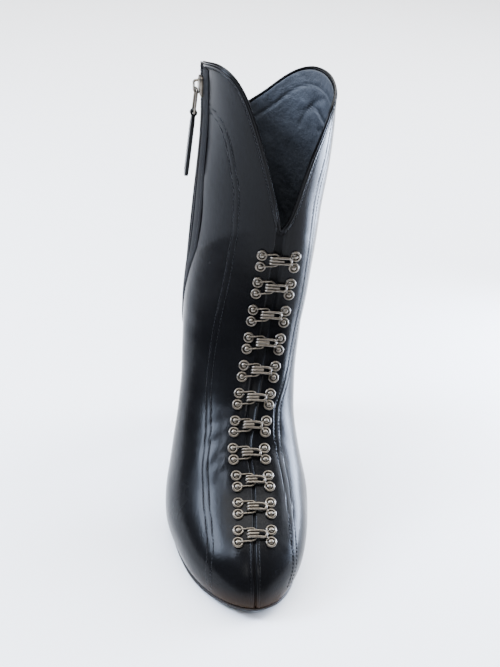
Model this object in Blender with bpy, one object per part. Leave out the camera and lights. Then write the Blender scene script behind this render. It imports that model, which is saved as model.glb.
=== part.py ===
"""Left stiletto ankle boot with a hook-and-eye front and a side zip, standing on its sole.

The toe points along -Y, +X is the outer side of the foot and +Z is up.
The last is a fan of sections: every section lies on a ray from one pivot in front of the ankle,
and runs from the front profile to the feather line (where upper meets sole) or to the back seam.
Lengths are in millimetres until a mesh is made. "from_toe" is the distance behind the toe tip.
"""

import math
from collections import namedtuple

import bmesh
import bpy
import numpy as np
from mathutils import Matrix, Vector

MM = 0.001
OUTER, INNER = 1, -1

# Driving dimensions
LENGTH = 219.0
BALL_FROM_TOE = 80.0
BALL_HALF_WIDTH = 39.0
HEEL_ROUND_FROM_TOE = 192.0
HEEL_HALF_WIDTH = 27.0
WALL = 2.2
SOLE_TOE = 1.2
SOLE_FOREPART = 3.0
SOLE_SHANK = 2.2
SOLE_EDGE = 0.5
INSOLE_THICKNESS = 2.0
INSOLE_CLEARANCE = 1.3
GAP = 0.3
PIVOT_FROM_TOE = 40.0
PIVOT_HEIGHT = 260.0

# How finely the pieces are faceted
UPPER_COLUMNS = 29
UPPER_ROWS = 21
TUCK_LEVEL = 0.012
SOLE_STATIONS = 30
HEEL_SIDES = 24
SHARP_ANGLE = math.radians(40)

Profile = namedtuple("Profile", "from_toe height")
Section = namedtuple("Section", "ray_deg centre ridge seam outer inner widest crown tuck")
Waist = namedtuple("Waist", "from_toe outer inner")
Collar = namedtuple("Collar", "turn_deg outer inner")

# Centre line of the upper from the toe tip over the vamp and up the front of the shaft
FRONT_PROFILE = (
    Profile(0, 8), Profile(3.2, 18.5), Profile(10, 27), Profile(22, 34.5), Profile(42, 43.5),
    Profile(62, 54), Profile(82, 68.5), Profile(98, 84), Profile(111, 102), Profile(121, 123),
    Profile(127, 145), Profile(129.5, 168), Profile(130, 190), Profile(128, 218), Profile(123, 256),
    Profile(120, 275),
)
# Feather line: flat under the ball, toe spring in front and the arch up to the heel seat behind
FEATHER_PROFILE = (
    Profile(0, 8), Profile(8, 6.3), Profile(20, 4.5), Profile(36, 3.35), Profile(58, 3.3),
    Profile(80, 3.35), Profile(93, 6.6), Profile(108, 16.5), Profile(124, 32.5), Profile(140, 51),
    Profile(156, 68), Profile(172, 81.5), Profile(190, 90.5), Profile(206, 95.6), Profile(219, 98.5),
)
# Back seam from the heel seat over the counter and up the back of the shaft
BACK_PROFILE = (
    Profile(219, 98.5), Profile(222.3, 112), Profile(223, 128), Profile(220.8, 148), Profile(216.8, 168),
    Profile(213.8, 188), Profile(213.4, 208), Profile(215, 230), Profile(218, 252), Profile(220, 270),
    Profile(222, 285),
)
# One row for each section: its middle, how far its front line (ridge) and back seam lie to the outer side
# of that middle, its half widths, where it is widest, how round its top is and how it tucks to the sole
SECTIONS = (
    Section(-7.9, -1.0, 0.8, 0, 12.2, 13.2, 0.60, 2.0, 2.6),
    Section(-6.7, -1.8, 1.6, 0, 18.8, 18.6, 0.61, 2.0, 2.6),
    Section(-4.5, -2.9, 2.9, 0, 26.8, 25.6, 0.64, 2.0, 2.6),
    Section(-1.8, -4.0, 4.7, 0, 33.2, 31.8, 0.67, 2.0, 2.6),
    Section(2.2, -5.0, 6.2, 0, 38.4, 38.0, 0.71, 1.98, 2.6),
    Section(5.8, -5.8, 6.6, 0, 41.6, 41.6, 0.74, 1.94, 2.6),
    Section(9.0, -6.4, 5.8, 0, 43.6, 42.8, 0.75, 1.9, 2.6),
    Section(13.0, -6.9, 7.4, 0, 42.0, 41.6, 0.73, 1.87, 2.6),
    Section(18.0, -6.8, 10.2, 0, 37.6, 38.6, 0.69, 1.86, 2.5),
    Section(24.0, -6.0, 13.4, 0, 34.2, 36.4, 0.62, 1.88, 2.2),
    Section(32.0, -4.6, 16.6, 0, 34.0, 37.0, 0.55, 1.92, 1.95),
    Section(40.0, -3.0, 18.6, 0, 35.4, 38.6, 0.49, 1.96, 1.75),
    Section(48.0, -0.8, 18.4, 0, 36.6, 39.2, 0.46, 2.0, 1.7),
    Section(56.0, 2.0, 15.8, -2.0, 37.8, 38.4, 0.465, 2.0, 1.75),
    Section(66.0, 5.4, 12.0, -4.4, 38.6, 37.0, 0.48, 2.0, 1.85),
    Section(78.0, 8.2, 8.4, -6.4, 38.6, 36.2, 0.49, 2.0, 1.95),
    Section(92.0, 9.6, 6.4, -7.2, 39.0, 37.6, 0.50, 2.0, 2.0),
    Section(98.0, 10.0, 5.8, -7.4, 39.4, 38.2, 0.50, 2.0, 2.0),
)
# Half widths of the sole behind the ball
WAIST = (
    Waist(80, 39, 39), Waist(92, 38.2, 37.6), Waist(106, 34, 32.4), Waist(120, 28.8, 26.6),
    Waist(136, 24.8, 22.4), Waist(152, 23, 21.4), Waist(168, 24, 23.2), Waist(182, 26.2, 26),
    Waist(192, 27, 27),
)
TOE_FULLNESS = 1.7
# Height of the collar on each side, by the turn round the shaft from the front notch to the back notch
COLLAR = (
    Collar(0, 176, 176), Collar(10, 187, 203), Collar(18, 204, 222), Collar(26, 219, 238),
    Collar(34, 229, 251.5), Collar(42, 237.5, 260), Collar(52, 245.5, 265), Collar(64, 250.5, 266.5),
    Collar(78, 253.5, 265), Collar(92, 256, 262.5), Collar(106, 257, 260), Collar(120, 256, 257),
    Collar(134, 252, 252), Collar(148, 245, 245), Collar(162, 236.5, 236.5), Collar(180, 228, 228),
)


def smooth_curve(xs, ys):
    """Natural cubic spline through the points, held at its end values."""
    xs, ys = np.asarray(xs, float), np.asarray(ys, float)
    step, count = np.diff(xs), len(xs)
    system, right = np.eye(count), np.zeros(count)
    for i in range(1, count - 1):
        system[i, i - 1 : i + 2] = step[i - 1], 2 * (step[i - 1] + step[i]), step[i]
        right[i] = 6 * ((ys[i + 1] - ys[i]) / step[i] - (ys[i] - ys[i - 1]) / step[i - 1])
    bend = np.linalg.solve(system, right)

    def at(x):
        x = np.clip(np.asarray(x, float), xs[0], xs[-1])
        i = np.clip(np.searchsorted(xs, x) - 1, 0, count - 2)
        before, after, h = x - xs[i], xs[i + 1] - x, step[i]
        return (
            (bend[i] * after**3 + bend[i + 1] * before**3) / (6 * h)
            + (ys[i] / h - bend[i] * h / 6) * after
            + (ys[i + 1] / h - bend[i + 1] * h / 6) * before
        )

    return at


def ray_degrees(from_toe, height):
    return np.degrees(np.arctan2(from_toe - PIVOT_FROM_TOE, PIVOT_HEIGHT - height))


TOE_DEG = float(ray_degrees(FRONT_PROFILE[0].from_toe, FRONT_PROFILE[0].height))


def station(ray_deg):
    """Section coordinate: the square root of the ray's turn from the toe keeps a round toe smooth."""
    return np.sqrt(np.maximum(np.asarray(ray_deg, float) - TOE_DEG, 0))


def profile_radius(rows):
    """Distance from the pivot as a smooth function of the station."""
    points = np.array(rows, float)
    stations = station(ray_degrees(points[:, 0], points[:, 1]))
    return smooth_curve(stations, np.hypot(points[:, 0] - PIVOT_FROM_TOE, points[:, 1] - PIVOT_HEIGHT))


def section_curve(name):
    start = getattr(SECTIONS[0], name) if name in ("widest", "crown", "tuck") else 0
    stations = [0] + [float(station(row.ray_deg)) for row in SECTIONS]
    return smooth_curve(stations, [start] + [getattr(row, name) for row in SECTIONS])


front_radius = profile_radius(FRONT_PROFILE)
feather_radius = profile_radius(FEATHER_PROFILE)
back_radius = profile_radius(BACK_PROFILE)
section = {name: section_curve(name) for name in Section._fields[1:]}
waist = {
    side: smooth_curve([row.from_toe for row in WAIST], [getattr(row, side) for row in WAIST])
    for side in ("outer", "inner")
}
collar_turns = [row.turn_deg for row in COLLAR]
collar_height = {
    OUTER: smooth_curve(collar_turns, [row.outer for row in COLLAR]),
    INNER: smooth_curve(collar_turns, [row.inner for row in COLLAR]),
}
HEEL_STATION = float(station(ray_degrees(FEATHER_PROFILE[-1].from_toe, FEATHER_PROFILE[-1].height)))
TOP_STATION = float(station(ray_degrees(BACK_PROFILE[-1].from_toe, BACK_PROFILE[-1].height)))


def side_name(side):
    return "outer" if side == OUTER else "inner"


def sole_half_width(from_toe, side):
    """Sole outline: an almond toe, the waist's table and a round heel."""
    from_toe = np.asarray(from_toe, float)
    ahead = np.clip(1 - from_toe / BALL_FROM_TOE, 0, 1)
    toe = BALL_HALF_WIDTH * np.sqrt(np.clip(1 - ahead**TOE_FULLNESS, 0, 1))
    behind = np.clip((from_toe - HEEL_ROUND_FROM_TOE) / (LENGTH - HEEL_ROUND_FROM_TOE), 0, 1)
    heel = HEEL_HALF_WIDTH * np.sqrt(1 - behind**2)
    middle = waist[side_name(side)](from_toe)
    return np.where(from_toe < BALL_FROM_TOE, toe, np.where(from_toe > HEEL_ROUND_FROM_TOE, heel, middle))


def rear_radius(s):
    return np.where(s < HEEL_STATION, feather_radius(s), back_radius(s))


def on_ray(s, radius):
    """(from_toe, height) of a point on the ray of station s."""
    angle = np.radians(s * s + TOE_DEG)
    return PIVOT_FROM_TOE + radius * np.sin(angle), PIVOT_HEIGHT - radius * np.cos(angle)


def half_width(s, across, side):
    """Half width of section s at a fraction across it, 0 at the front profile and 1 at the rear."""
    widest, crown, tuck = section["widest"](s), section["crown"](s), section["tuck"](s)
    full = section[side_name(side)](s)
    sole = np.where(s < HEEL_STATION, sole_half_width(on_ray(s, feather_radius(s))[0], side), 0)
    sole = np.minimum(sole, full)
    rise = np.clip(1 - across / widest, 0, 1)
    fall = np.clip((across - widest) / (1 - widest), 0, 1)
    upper_part = full * np.sqrt(np.clip(1 - rise**crown, 0, 1))
    lower_part = np.sqrt(sole**2 + (full**2 - sole**2) * np.clip(1 - fall**tuck, 0, 1) ** (2 / tuck))
    return np.where(across < widest, upper_part, lower_part)


def middle(s, across):
    """The boot's own curve: where the middle of section s lies at a fraction across it."""
    across = np.clip(across, 0, 1)
    return section["centre"](s) + section["ridge"](s) * (1 - across) ** 2 + section["seam"](s) * across**2


def skin(s, across, side):
    """Point on the upper's outer face, as an array with x, from_toe and height last."""
    s, across = np.broadcast_arrays(np.asarray(s, float), np.asarray(across, float))
    near, far = front_radius(s), rear_radius(s)
    from_toe, height = on_ray(s, near + (far - near) * across)
    return np.stack([middle(s, across) + side * half_width(s, across, side), from_toe, height], -1)


def skin_beside(from_toe, height, side):
    """Point on the outer face found from its place in the side view."""
    s = station(ray_degrees(from_toe, height))
    radius = np.hypot(from_toe - PIVOT_FROM_TOE, height - PIVOT_HEIGHT)
    across = (radius - front_radius(s)) / (rear_radius(s) - front_radius(s))
    return np.stack([middle(s, across) + side * half_width(s, across, side), from_toe, height], -1)


def unit(vectors):
    return vectors / np.linalg.norm(vectors, axis=-1, keepdims=True)


def side_normal(from_toe, height, side):
    step = 0.05
    along = skin_beside(from_toe + step, height, side) - skin_beside(from_toe - step, height, side)
    up = skin_beside(from_toe, height + step, side) - skin_beside(from_toe, height - step, side)
    return unit(np.cross(along, up)) * side


def lengths_along(points):
    return np.concatenate([[0], np.cumsum(np.linalg.norm(np.diff(points, axis=0), axis=1))])


FINE = 1200
FEATHER_STATIONS = np.linspace(0, HEEL_STATION, FINE)
FRONT_STATIONS = np.linspace(0, TOP_STATION, FINE)
FRONT_LENGTHS = lengths_along(skin(FRONT_STATIONS, 0, OUTER))


def evenly(points, shares):
    """Points that divide a line of many points by shares of its length."""
    lengths = lengths_along(points)
    return np.stack([np.interp(np.asarray(shares) * lengths[-1], lengths, axis) for axis in points.T], -1)


def collar_places(side):
    """Stations and across shares of the collar's edge, from the front notch over the wing to the back notch."""
    turns = np.linspace(0, 180, 240)
    shares = (1 - np.cos(np.radians(turns))) / 2
    stations = np.linspace(HEEL_STATION * 0.8, TOP_STATION, FINE)
    heights = collar_height[side](turns)
    found = [np.interp(z, skin(stations, a, side)[:, 2], stations) for a, z in zip(shares, heights)]
    return np.array(found), shares


def even_stations(first, last, across, side, levels):
    """Stations that divide a line of constant across by shares of its length."""
    stations = np.linspace(first, last, FINE)
    lengths = lengths_along(skin(stations, across, side))
    return np.interp(levels * lengths[-1], lengths, stations)


def side_view(s, across):
    """Places (from_toe, height) of points on the rays."""
    return np.stack(on_ray(s, front_radius(s) + (rear_radius(s) - front_radius(s)) * across), -1)


def upper_half(side):
    """Outer face of one side: rows from the feather line to the collar, columns from front to back.

    Each row leaves the front line and reaches the back line as the collar does there, and the feather
    line's own run is added in the side view, less and less with every row.
    """
    shares = (1 - np.cos(np.pi * np.linspace(0, 1, UPPER_COLUMNS + 1))) / 2
    levels = np.concatenate([[0, TUCK_LEVEL], np.linspace(3 * TUCK_LEVEL, 1, UPPER_ROWS)])
    collar_s, collar_across = collar_places(side)
    lengths = lengths_along(skin(collar_s, collar_across, side))
    top_s = np.interp(shares * lengths[-1], lengths, collar_s)
    top_across = np.interp(shares * lengths[-1], lengths, collar_across)
    front_s = even_stations(0, top_s[0], 0, side, levels)[:, None]
    back_s = even_stations(HEEL_STATION, top_s[-1], 1, side, levels)[:, None]
    feather_s = even_stations(0, HEEL_STATION, 1, side, shares)
    v, towards_back = levels[:, None], (shares**2 * (3 - 2 * shares))[:, None]
    from_front = side_view(front_s + v * (top_s - top_s[0]), v * top_across)
    from_back = side_view(back_s + v * (top_s - top_s[-1]), 1 - v * (1 - top_across))
    feather = side_view(feather_s, 1.0)
    feather_run = feather - (1 - towards_back) * feather[0] - towards_back * feather[-1]
    blended = (1 - towards_back) * from_front + towards_back * from_back + (1 - v)[..., None] * feather_run
    grid = skin_beside(blended[..., 0], blended[..., 1], side)
    grid[0], grid[-1] = skin(feather_s, 1.0, side), skin(top_s, top_across, side)
    grid[:, 0], grid[:, -1] = skin(front_s[:, 0], 0.0, side), skin(back_s[:, 0], 1.0, side)
    return grid


def upper_grid():
    """Outer face of the upper, its columns running from the front round the outer side and back."""
    return np.concatenate([upper_half(OUTER), upper_half(INNER)[:, -2:0:-1]], axis=1)


def grid_normals(grid):
    """Outward normals of a grid whose columns close round."""
    around = np.roll(grid, -1, axis=1) - np.roll(grid, 1, axis=1)
    upwards = np.gradient(grid, axis=0)
    return unit(np.cross(around, upwards))


def to_world(points):
    """Millimetre points (x, from_toe, height) as metres in the part's axes."""
    points = np.asarray(points, float)
    return [Vector((x * MM, (y - LENGTH / 2) * MM, z * MM)) for x, y, z in points.reshape(-1, 3)]


# Hooks and eyes down the front
HOOK_COUNT = 11
FIRST_HOOK_ALONG = 211.4
HOOK_SPACING = 16.98
RING_ACROSS = 9.25
RING_PITCH = 7.0
# The hooks' side of the front is pulled further out towards the collar
Ring = namedtuple("Ring", "along across")
HOOK_RING_ACROSS = (Ring(110, 9.5), Ring(212, 11.3))
RING_SIDES = 8
RIVET_PROFILE = ((3.25, 0.6), (3.25, 1.25), (1.1, 2.0))
PLATE_HALF_WIDTH = 2.9
Plate = namedtuple("Plate", "across low high")
HOOK_PLATE = (
    Plate(9.3, 0.7, 1.1), Plate(7.0, 0.75, 1.4), Plate(4.6, 1.3, 2.1), Plate(1.5, 1.8, 2.6),
    Plate(-1.6, 1.8, 2.6), Plate(-3.0, 0.7, 2.35), Plate(-3.8, 0.6, 1.7),
)
WIRE_RADIUS = 0.45
WIRE_SIDES = 5
Wire = namedtuple("Wire", "across along height")
EYE_WIRE = (
    Wire(-8.4, 3.5, 1.05), Wire(-5.6, 3.7, 1.1), Wire(-2.6, 3.7, 1.1), Wire(-0.3, 3.5, 1.1),
    Wire(0.9, 2.2, 1.1), Wire(1.2, 0, 1.1),
)
# The front join: a fine seam over the toe, opening to a gap between the edges under the hooks
Groove = namedtuple("Groove", "along half_width")
FRONT_GROOVE = (Groove(4, 0.6), Groove(85, 0.6), Groove(115, 2.2), Groove(250, 2.2))
FRONT_GROOVE_DEPTH = 1.0

# Zip on the inner side
ZIP_FROM_TOE = 170.0
ZIP_BOTTOM = 104.0
ZIP_TOP = 259.0
ZIP_WIDTH = 7.0
ZIP_CHANNEL_DEPTH = 0.9
ZIP_PROUD = 0.15
SLIDER_HEIGHT = 250.0
Slider = namedtuple("Slider", "up half_width low high")
SLIDER_BODY = (
    Slider(-6.0, 2.6, 0.5, 2.0), Slider(-3.6, 3.3, 0.5, 3.0), Slider(2.2, 4.0, 0.5, 3.0),
    Slider(5.6, 4.1, 0.5, 2.2),
)
Arch = namedtuple("Arch", "up low high")
SLIDER_BRIDGE = (
    Arch(-4.0, 2.4, 3.2), Arch(-3.7, 2.4, 5.4), Arch(-2.6, 5.3, 6.3), Arch(2.6, 5.3, 6.3),
    Arch(3.7, 2.4, 5.4), Arch(4.0, 2.4, 3.2),
)
BRIDGE_HALF_WIDTH = 1.3
HINGE_UP = -1.5
PULL_LEAN_DEG = 6.0
HINGE_OUT = 4.25
LINK_HALF_WIDTH = 3.0
LINK_LENGTH = 14.0
LINK_WIRE_RADIUS = 0.7
TAB_LENGTH = 39.0
TAB_HALF_WIDTH = 2.5
TAB_NECK_HALF_WIDTH = 1.85
TAB_THICKNESS = 2.2
TAB_EYE_RADIUS = 1.05

# Heel: each ring's height at the back, how far it follows the slope of the heel seat, and its outline
HeelRing = namedtuple("HeelRing", "height follow front back half_width square")
HEEL_TIP_HEIGHT = 6.0
HEEL_SEAT_FROM_TOE = 205.0
HEEL_RINGS = (
    HeelRing(6.3, 0, 200.4, 210.9, 5.0, 3.0),
    HeelRing(18, 0, 199.6, 211.6, 5.5, 3.0),
    HeelRing(32, 0, 197.5, 212.6, 6.6, 3.0),
    HeelRing(46, 0.1, 193.5, 213.8, 8.6, 3.2),
    HeelRing(58, 0.3, 187.5, 215.3, 11.8, 3.6),
    HeelRing(68, 0.55, 180.5, 216.7, 16.5, 4.2),
    HeelRing(78, 0.8, 173.5, 218.0, 22.0, 5.0),
    HeelRing(86, 0.95, 168.5, 219.0, 25.5, 5.5),
    HeelRing(92.5, 1.0, 166.0, 219.6, 26.8, 6.0),
)
HEEL_TIP_RINGS = (
    HeelRing(0, 0, 200.2, 211.1, 5.2, 3.0),
    HeelRing(HEEL_TIP_HEIGHT, 0, 200.2, 211.1, 5.2, 3.0),
)


def material(name, colour, metallic, roughness):
    made = bpy.data.materials.new(name)
    made.use_nodes = True
    shader = made.node_tree.nodes["Principled BSDF"]
    shader.inputs["Base Color"].default_value = (*colour, 1)
    shader.inputs["Metallic"].default_value = metallic
    shader.inputs["Roughness"].default_value = roughness
    return made


def shade(mesh):
    """Smooth shading, with the edges of flat faces kept crisp."""
    mesh.shade_smooth()
    mesh.set_sharp_from_angle(angle=SHARP_ANGLE)


def solid(name, rings, surface, closed=False):
    """Object from a stack of rings with equal counts, capped at both ends or closed round on itself."""
    rings = np.asarray(rings, float)
    count, sides = rings.shape[:2]
    bm = bmesh.new()
    verts = [bm.verts.new(point) for point in to_world(rings)]
    for k in range(count if closed else count - 1):
        here, there = k * sides, (k + 1) % count * sides
        for j in range(sides):
            nxt = (j + 1) % sides
            bm.faces.new([verts[i] for i in (here + j, here + nxt, there + nxt, there + j)])
    if not closed:
        bm.faces.new(verts[:sides])
        bm.faces.new(verts[-sides:])
    bmesh.ops.recalc_face_normals(bm, faces=bm.faces)
    mesh = bpy.data.meshes.new(name)
    bm.to_mesh(mesh)
    bm.free()
    mesh.materials.append(surface)
    shade(mesh)
    made = bpy.data.objects.new(name, mesh)
    bpy.context.scene.collection.objects.link(made)
    return made


def combine(target, others, operation):
    """Booleans the other solids into or out of the target, and removes them."""
    for other in others:
        modifier = target.modifiers.new(other.name, "BOOLEAN")
        modifier.operation = operation
        modifier.solver = "EXACT"
        modifier.object = other
    graph = bpy.context.evaluated_depsgraph_get()
    mesh = bpy.data.meshes.new_from_object(target.evaluated_get(graph))
    target.modifiers.clear()
    shade(mesh)
    target.data = mesh
    for other in others:
        bpy.data.objects.remove(other)
    return target


def front_frame(along, across):
    """Point and outward normal on the upper: along the centre line from the toe, and across from it."""
    side = OUTER if across >= 0 else INNER
    s = np.interp(along, FRONT_LENGTHS, FRONT_STATIONS)
    shares = np.linspace(0, 1, 300) ** 2 * 0.5
    share = np.interp(abs(across), lengths_along(skin(s, shares, side)), shares)
    upward = skin(s + 0.005, share, side) - skin(s - 0.005, share, side)
    sideways = np.array([1.0, 0, 0])
    if abs(across) > 0.05:
        sideways = side * (skin(s, share * 1.02, side) - skin(s, share * 0.98, side))
    return skin(s, share, side), unit(np.cross(sideways, upward))


def lifted(along, across, height):
    point, normal = front_frame(along, across)
    return point + normal * height


def sole_outline(edge):
    """Outline stations as pairs (inner, outer) of points, moved outward by edge in the plan."""
    shares = np.concatenate([[0.004, 0.012], np.linspace(0.03, 0.97, SOLE_STATIONS), [0.985, 0.995]])
    pairs = []
    for side in (INNER, OUTER):
        line = skin(FEATHER_STATIONS, 1.0, side)
        run = evenly(line, shares + 0.002) - evenly(line, shares - 0.002)
        away = unit(np.stack([run[:, 1], -run[:, 0]], -1)) * side
        moved = evenly(line, shares)
        moved[:, :2] += away * edge
        pairs.append(moved)
    return np.stack(pairs, 1)


FEATHER_LINE = skin(FEATHER_STATIONS, 1.0, OUTER)
HEEL_CENTRE = float(middle(HEEL_STATION, 1.0))


def sole_thickness(from_toe):
    forepart = SOLE_FOREPART + 0.1
    return np.interp(from_toe, (0, 36, 88, 130), (SOLE_TOE, forepart, forepart, SOLE_SHANK))


def feather_height(from_toe):
    """Height of the feather line, which also shapes the sole's and the insole's faces."""
    return np.interp(from_toe, FEATHER_LINE[:, 1], FEATHER_LINE[:, 2])


def sole_bottom(from_toe):
    return np.maximum(feather_height(from_toe) - GAP - sole_thickness(from_toe), 0)


def heel_ring(row):
    """One ring of the heel: round behind and squarer at the breast."""
    turn = np.linspace(0, 2 * np.pi, HEEL_SIDES, endpoint=False)
    ahead, beside = np.cos(turn), np.sin(turn)
    power = np.where(ahead < 0, 2 / row.square, 1.0)
    centre, reach = (row.front + row.back) / 2, (row.back - row.front) / 2
    from_toe = centre + reach * np.sign(ahead) * np.abs(ahead) ** power
    x = HEEL_CENTRE + row.half_width * np.sign(beside) * np.abs(beside) ** power
    slope = sole_bottom(from_toe) - sole_bottom(HEEL_SEAT_FROM_TOE)
    return np.stack([x, from_toe, row.height + row.follow * slope], -1)


def level_sheet(edge, drop, rise):
    """Rings of a sheet along the feather line, between a drop (by from_toe) and a rise from it."""
    rings = []
    for inner, outer in sole_outline(edge):
        low = [max(feather_height(point[1]) - drop(point[1]), 0) for point in (inner, outer)]
        high = [feather_height(point[1]) + rise for point in (inner, outer)]
        rings.append([
            (inner[0], inner[1], low[0]), (outer[0], outer[1], low[1]),
            (outer[0], outer[1], high[1]), (inner[0], inner[1], high[0]),
        ])
    return rings


def zip_strip(bottom, top, width, low, high, rows):
    """Rings of a strip that lies on the upper along the zip, between two heights off its face."""
    rings = []
    offsets = np.array([-0.5, 0, 0.5]) * width
    for height in np.linspace(bottom, top, rows):
        place = ZIP_FROM_TOE + offsets, np.full(3, height)
        points, normals = skin_beside(*place, INNER), side_normal(*place, INNER)
        rings.append(np.concatenate([points + normals * low, (points + normals * high)[::-1]]))
    return rings


def tube(path, radius, sides, plane_normal, closed=False):
    """Rings of a wire along a path."""
    path = np.asarray(path, float)
    if closed:
        run = unit(np.roll(path, -1, axis=0) - np.roll(path, 1, axis=0))
    else:
        run = unit(np.gradient(path, axis=0))
    lift = np.broadcast_to(plane_normal, path.shape)
    beside = unit(np.cross(lift, run))
    above = np.cross(run, beside)
    turn = np.linspace(0, 2 * np.pi, sides, endpoint=False)
    rounds = np.cos(turn)[:, None, None] * above + np.sin(turn)[:, None, None] * beside
    return np.swapaxes(path[None] + radius * rounds, 0, 1)


def rivet(name, along, across, surface):
    """Domed rivet on its washer, square to the upper."""
    point, normal = front_frame(along, across)
    side = unit(np.cross(normal, [0.0, 1.0, 0.35]))
    other = np.cross(normal, side)
    turn = np.linspace(0, 2 * np.pi, RING_SIDES, endpoint=False)[:, None]
    rings = [
        point + normal * height + radius * (np.cos(turn) * side + np.sin(turn) * other)
        for radius, height in RIVET_PROFILE
    ]
    return solid(name, rings, surface)


def rivet_pair(label, along, across, surface):
    return [
        rivet(f"{label}_rivet_{k}", along + step * RING_PITCH / 2, across, surface)
        for k, step in enumerate((-1, 1))
    ]


def hook(number, along, surface):
    """Hook plate on two rivets on the outer side, reaching over the front join."""
    ring_across = np.interp(along, *zip(*HOOK_RING_ACROSS))
    rings = []
    for row in HOOK_PLATE:
        across = row.across + (ring_across - RING_ACROSS) * np.clip(row.across / RING_ACROSS, 0, 1)
        corners = ((-1, row.low), (1, row.low), (1, row.high), (-1, row.high))
        rings.append([lifted(along + way * PLATE_HALF_WIDTH, across, height) for way, height in corners])
    name = f"hook_{number:02d}"
    return combine(solid(name, rings, surface), rivet_pair(name, along, ring_across, surface), "UNION")


def eye(number, along, surface):
    """Wire eye on two rivets on the inner side; its loop lies under the hook plate."""
    way = list(EYE_WIRE) + [row._replace(along=-row.along) for row in EYE_WIRE[-2::-1]]
    path = [lifted(along + row.along, row.across, row.height) for row in way]
    normal = front_frame(along, -2.0)[1]
    name = f"eye_{number:02d}"
    wire = solid(name, tube(path, WIRE_RADIUS, WIRE_SIDES, normal), surface)
    return combine(wire, rivet_pair(name, along, -RING_ACROSS, surface), "UNION")


def slider_axes():
    """Point under the slider and its axes: back along the boot, up the zip and out from the upper."""
    place = ZIP_FROM_TOE, SLIDER_HEIGHT
    point, out = skin_beside(*place, INNER), side_normal(*place, INNER)
    rise = skin_beside(ZIP_FROM_TOE, SLIDER_HEIGHT + 1, INNER) - point
    back = unit(np.cross(out, rise))
    return point, back, np.cross(back, out), out


def zip_slider(surface):
    point, back, up, out = slider_axes()

    def box_ring(rise, half, low, high):
        corners = ((-half, low), (half, low), (half, high), (-half, high))
        return [point + back * u + up * rise + out * w for u, w in corners]

    body = solid("zip_slider", [box_ring(*row) for row in SLIDER_BODY], surface)
    arch = [box_ring(row.up, BRIDGE_HALF_WIDTH, row.low, row.high) for row in SLIDER_BRIDGE]
    return combine(body, [solid("slider_bridge", arch, surface)], "UNION")


def pull_hinge():
    """Centre of the hinge under the slider's bridge and its level axis."""
    point, back, up, out = slider_axes()
    axis = unit(back * [1, 1, 0])
    return point + up * HINGE_UP + out * HINGE_OUT, axis


def zip_pull(metal, leather):
    """Wire link in the slider's bridge and the leather tab on it, hanging a little off the upper."""
    centre, axis = pull_hinge()
    lean = math.radians(PULL_LEAN_DEG)
    plumb = np.array([0, 0, -1.0])
    down = plumb * math.cos(lean) + np.cross(axis, plumb) * math.sin(lean)
    outward = np.cross(axis, down)
    corner = 0.9
    outline = (
        (LINK_HALF_WIDTH - corner, 0), (LINK_HALF_WIDTH, corner),
        (LINK_HALF_WIDTH, LINK_LENGTH - corner), (LINK_HALF_WIDTH - corner, LINK_LENGTH),
    )
    path = [(u, v) for u, v in outline] + [(-u, v) for u, v in reversed(outline)]
    link_path = [centre + axis * u + down * v for u, v in path]
    solid("zip_pull_link", tube(link_path, LINK_WIRE_RADIUS, 6, outward, closed=True), metal, closed=True)

    bar = centre + down * LINK_LENGTH
    half = TAB_THICKNESS / 2
    tail = (
        (-0.3, TAB_NECK_HALF_WIDTH), (2.6, TAB_NECK_HALF_WIDTH), (4.4, TAB_HALF_WIDTH),
        (TAB_LENGTH - 2.2, TAB_HALF_WIDTH), (TAB_LENGTH - 0.6, TAB_HALF_WIDTH * 0.72),
        (TAB_LENGTH, TAB_HALF_WIDTH * 0.3),
    )
    rings = []
    for drop, wide in tail:
        corners = ((-wide, -half), (wide, -half), (wide, half), (-wide, half))
        rings.append([bar + down * drop + axis * u + outward * w for u, w in corners])
    tab = solid("zip_pull_tab", rings, leather)
    turn = np.linspace(0, 2 * np.pi, 12, endpoint=False)[:, None]
    circle = np.cos(turn) * outward + np.sin(turn) * down

    def round_bar(name, radius, reach):
        return solid(name, [bar + axis * u + circle * radius for u in (-reach, reach)], leather)

    combine(tab, [round_bar("tab_fold", half + 1.0, TAB_NECK_HALF_WIDTH - 0.1)], "UNION")
    combine(tab, [round_bar("tab_eye", TAB_EYE_RADIUS, 2 * LINK_HALF_WIDTH)], "DIFFERENCE")


def upper(surface):
    """Hollow upper with the groove of its front join and the recess that the zip lies in."""
    outer = upper_grid()
    inner = outer - grid_normals(outer) * WALL
    inner[0, :, 2] = np.maximum(inner[0, :, 2], feather_height(inner[0, :, 1]))
    body = solid("upper", np.concatenate([outer, inner[::-1]]), surface, closed=True)
    groove = []
    for along in np.linspace(FRONT_GROOVE[0].along, FRONT_GROOVE[-1].along, 42):
        point, normal = front_frame(along, 0)
        half = np.array([np.interp(along, *zip(*FRONT_GROOVE)), 0, 0])
        low, high = point - normal * FRONT_GROOVE_DEPTH, point + normal * 2.5
        groove.append([low - half, low + half, high + half, high - half])
    channel = zip_strip(
        ZIP_BOTTOM - GAP, ZIP_TOP + 11, ZIP_WIDTH + 2 * GAP, -ZIP_CHANNEL_DEPTH, 3.0, 22
    )
    cutters = [solid("front_groove", groove, surface), solid("zip_channel", channel, surface)]
    return combine(body, cutters, "DIFFERENCE")


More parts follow.
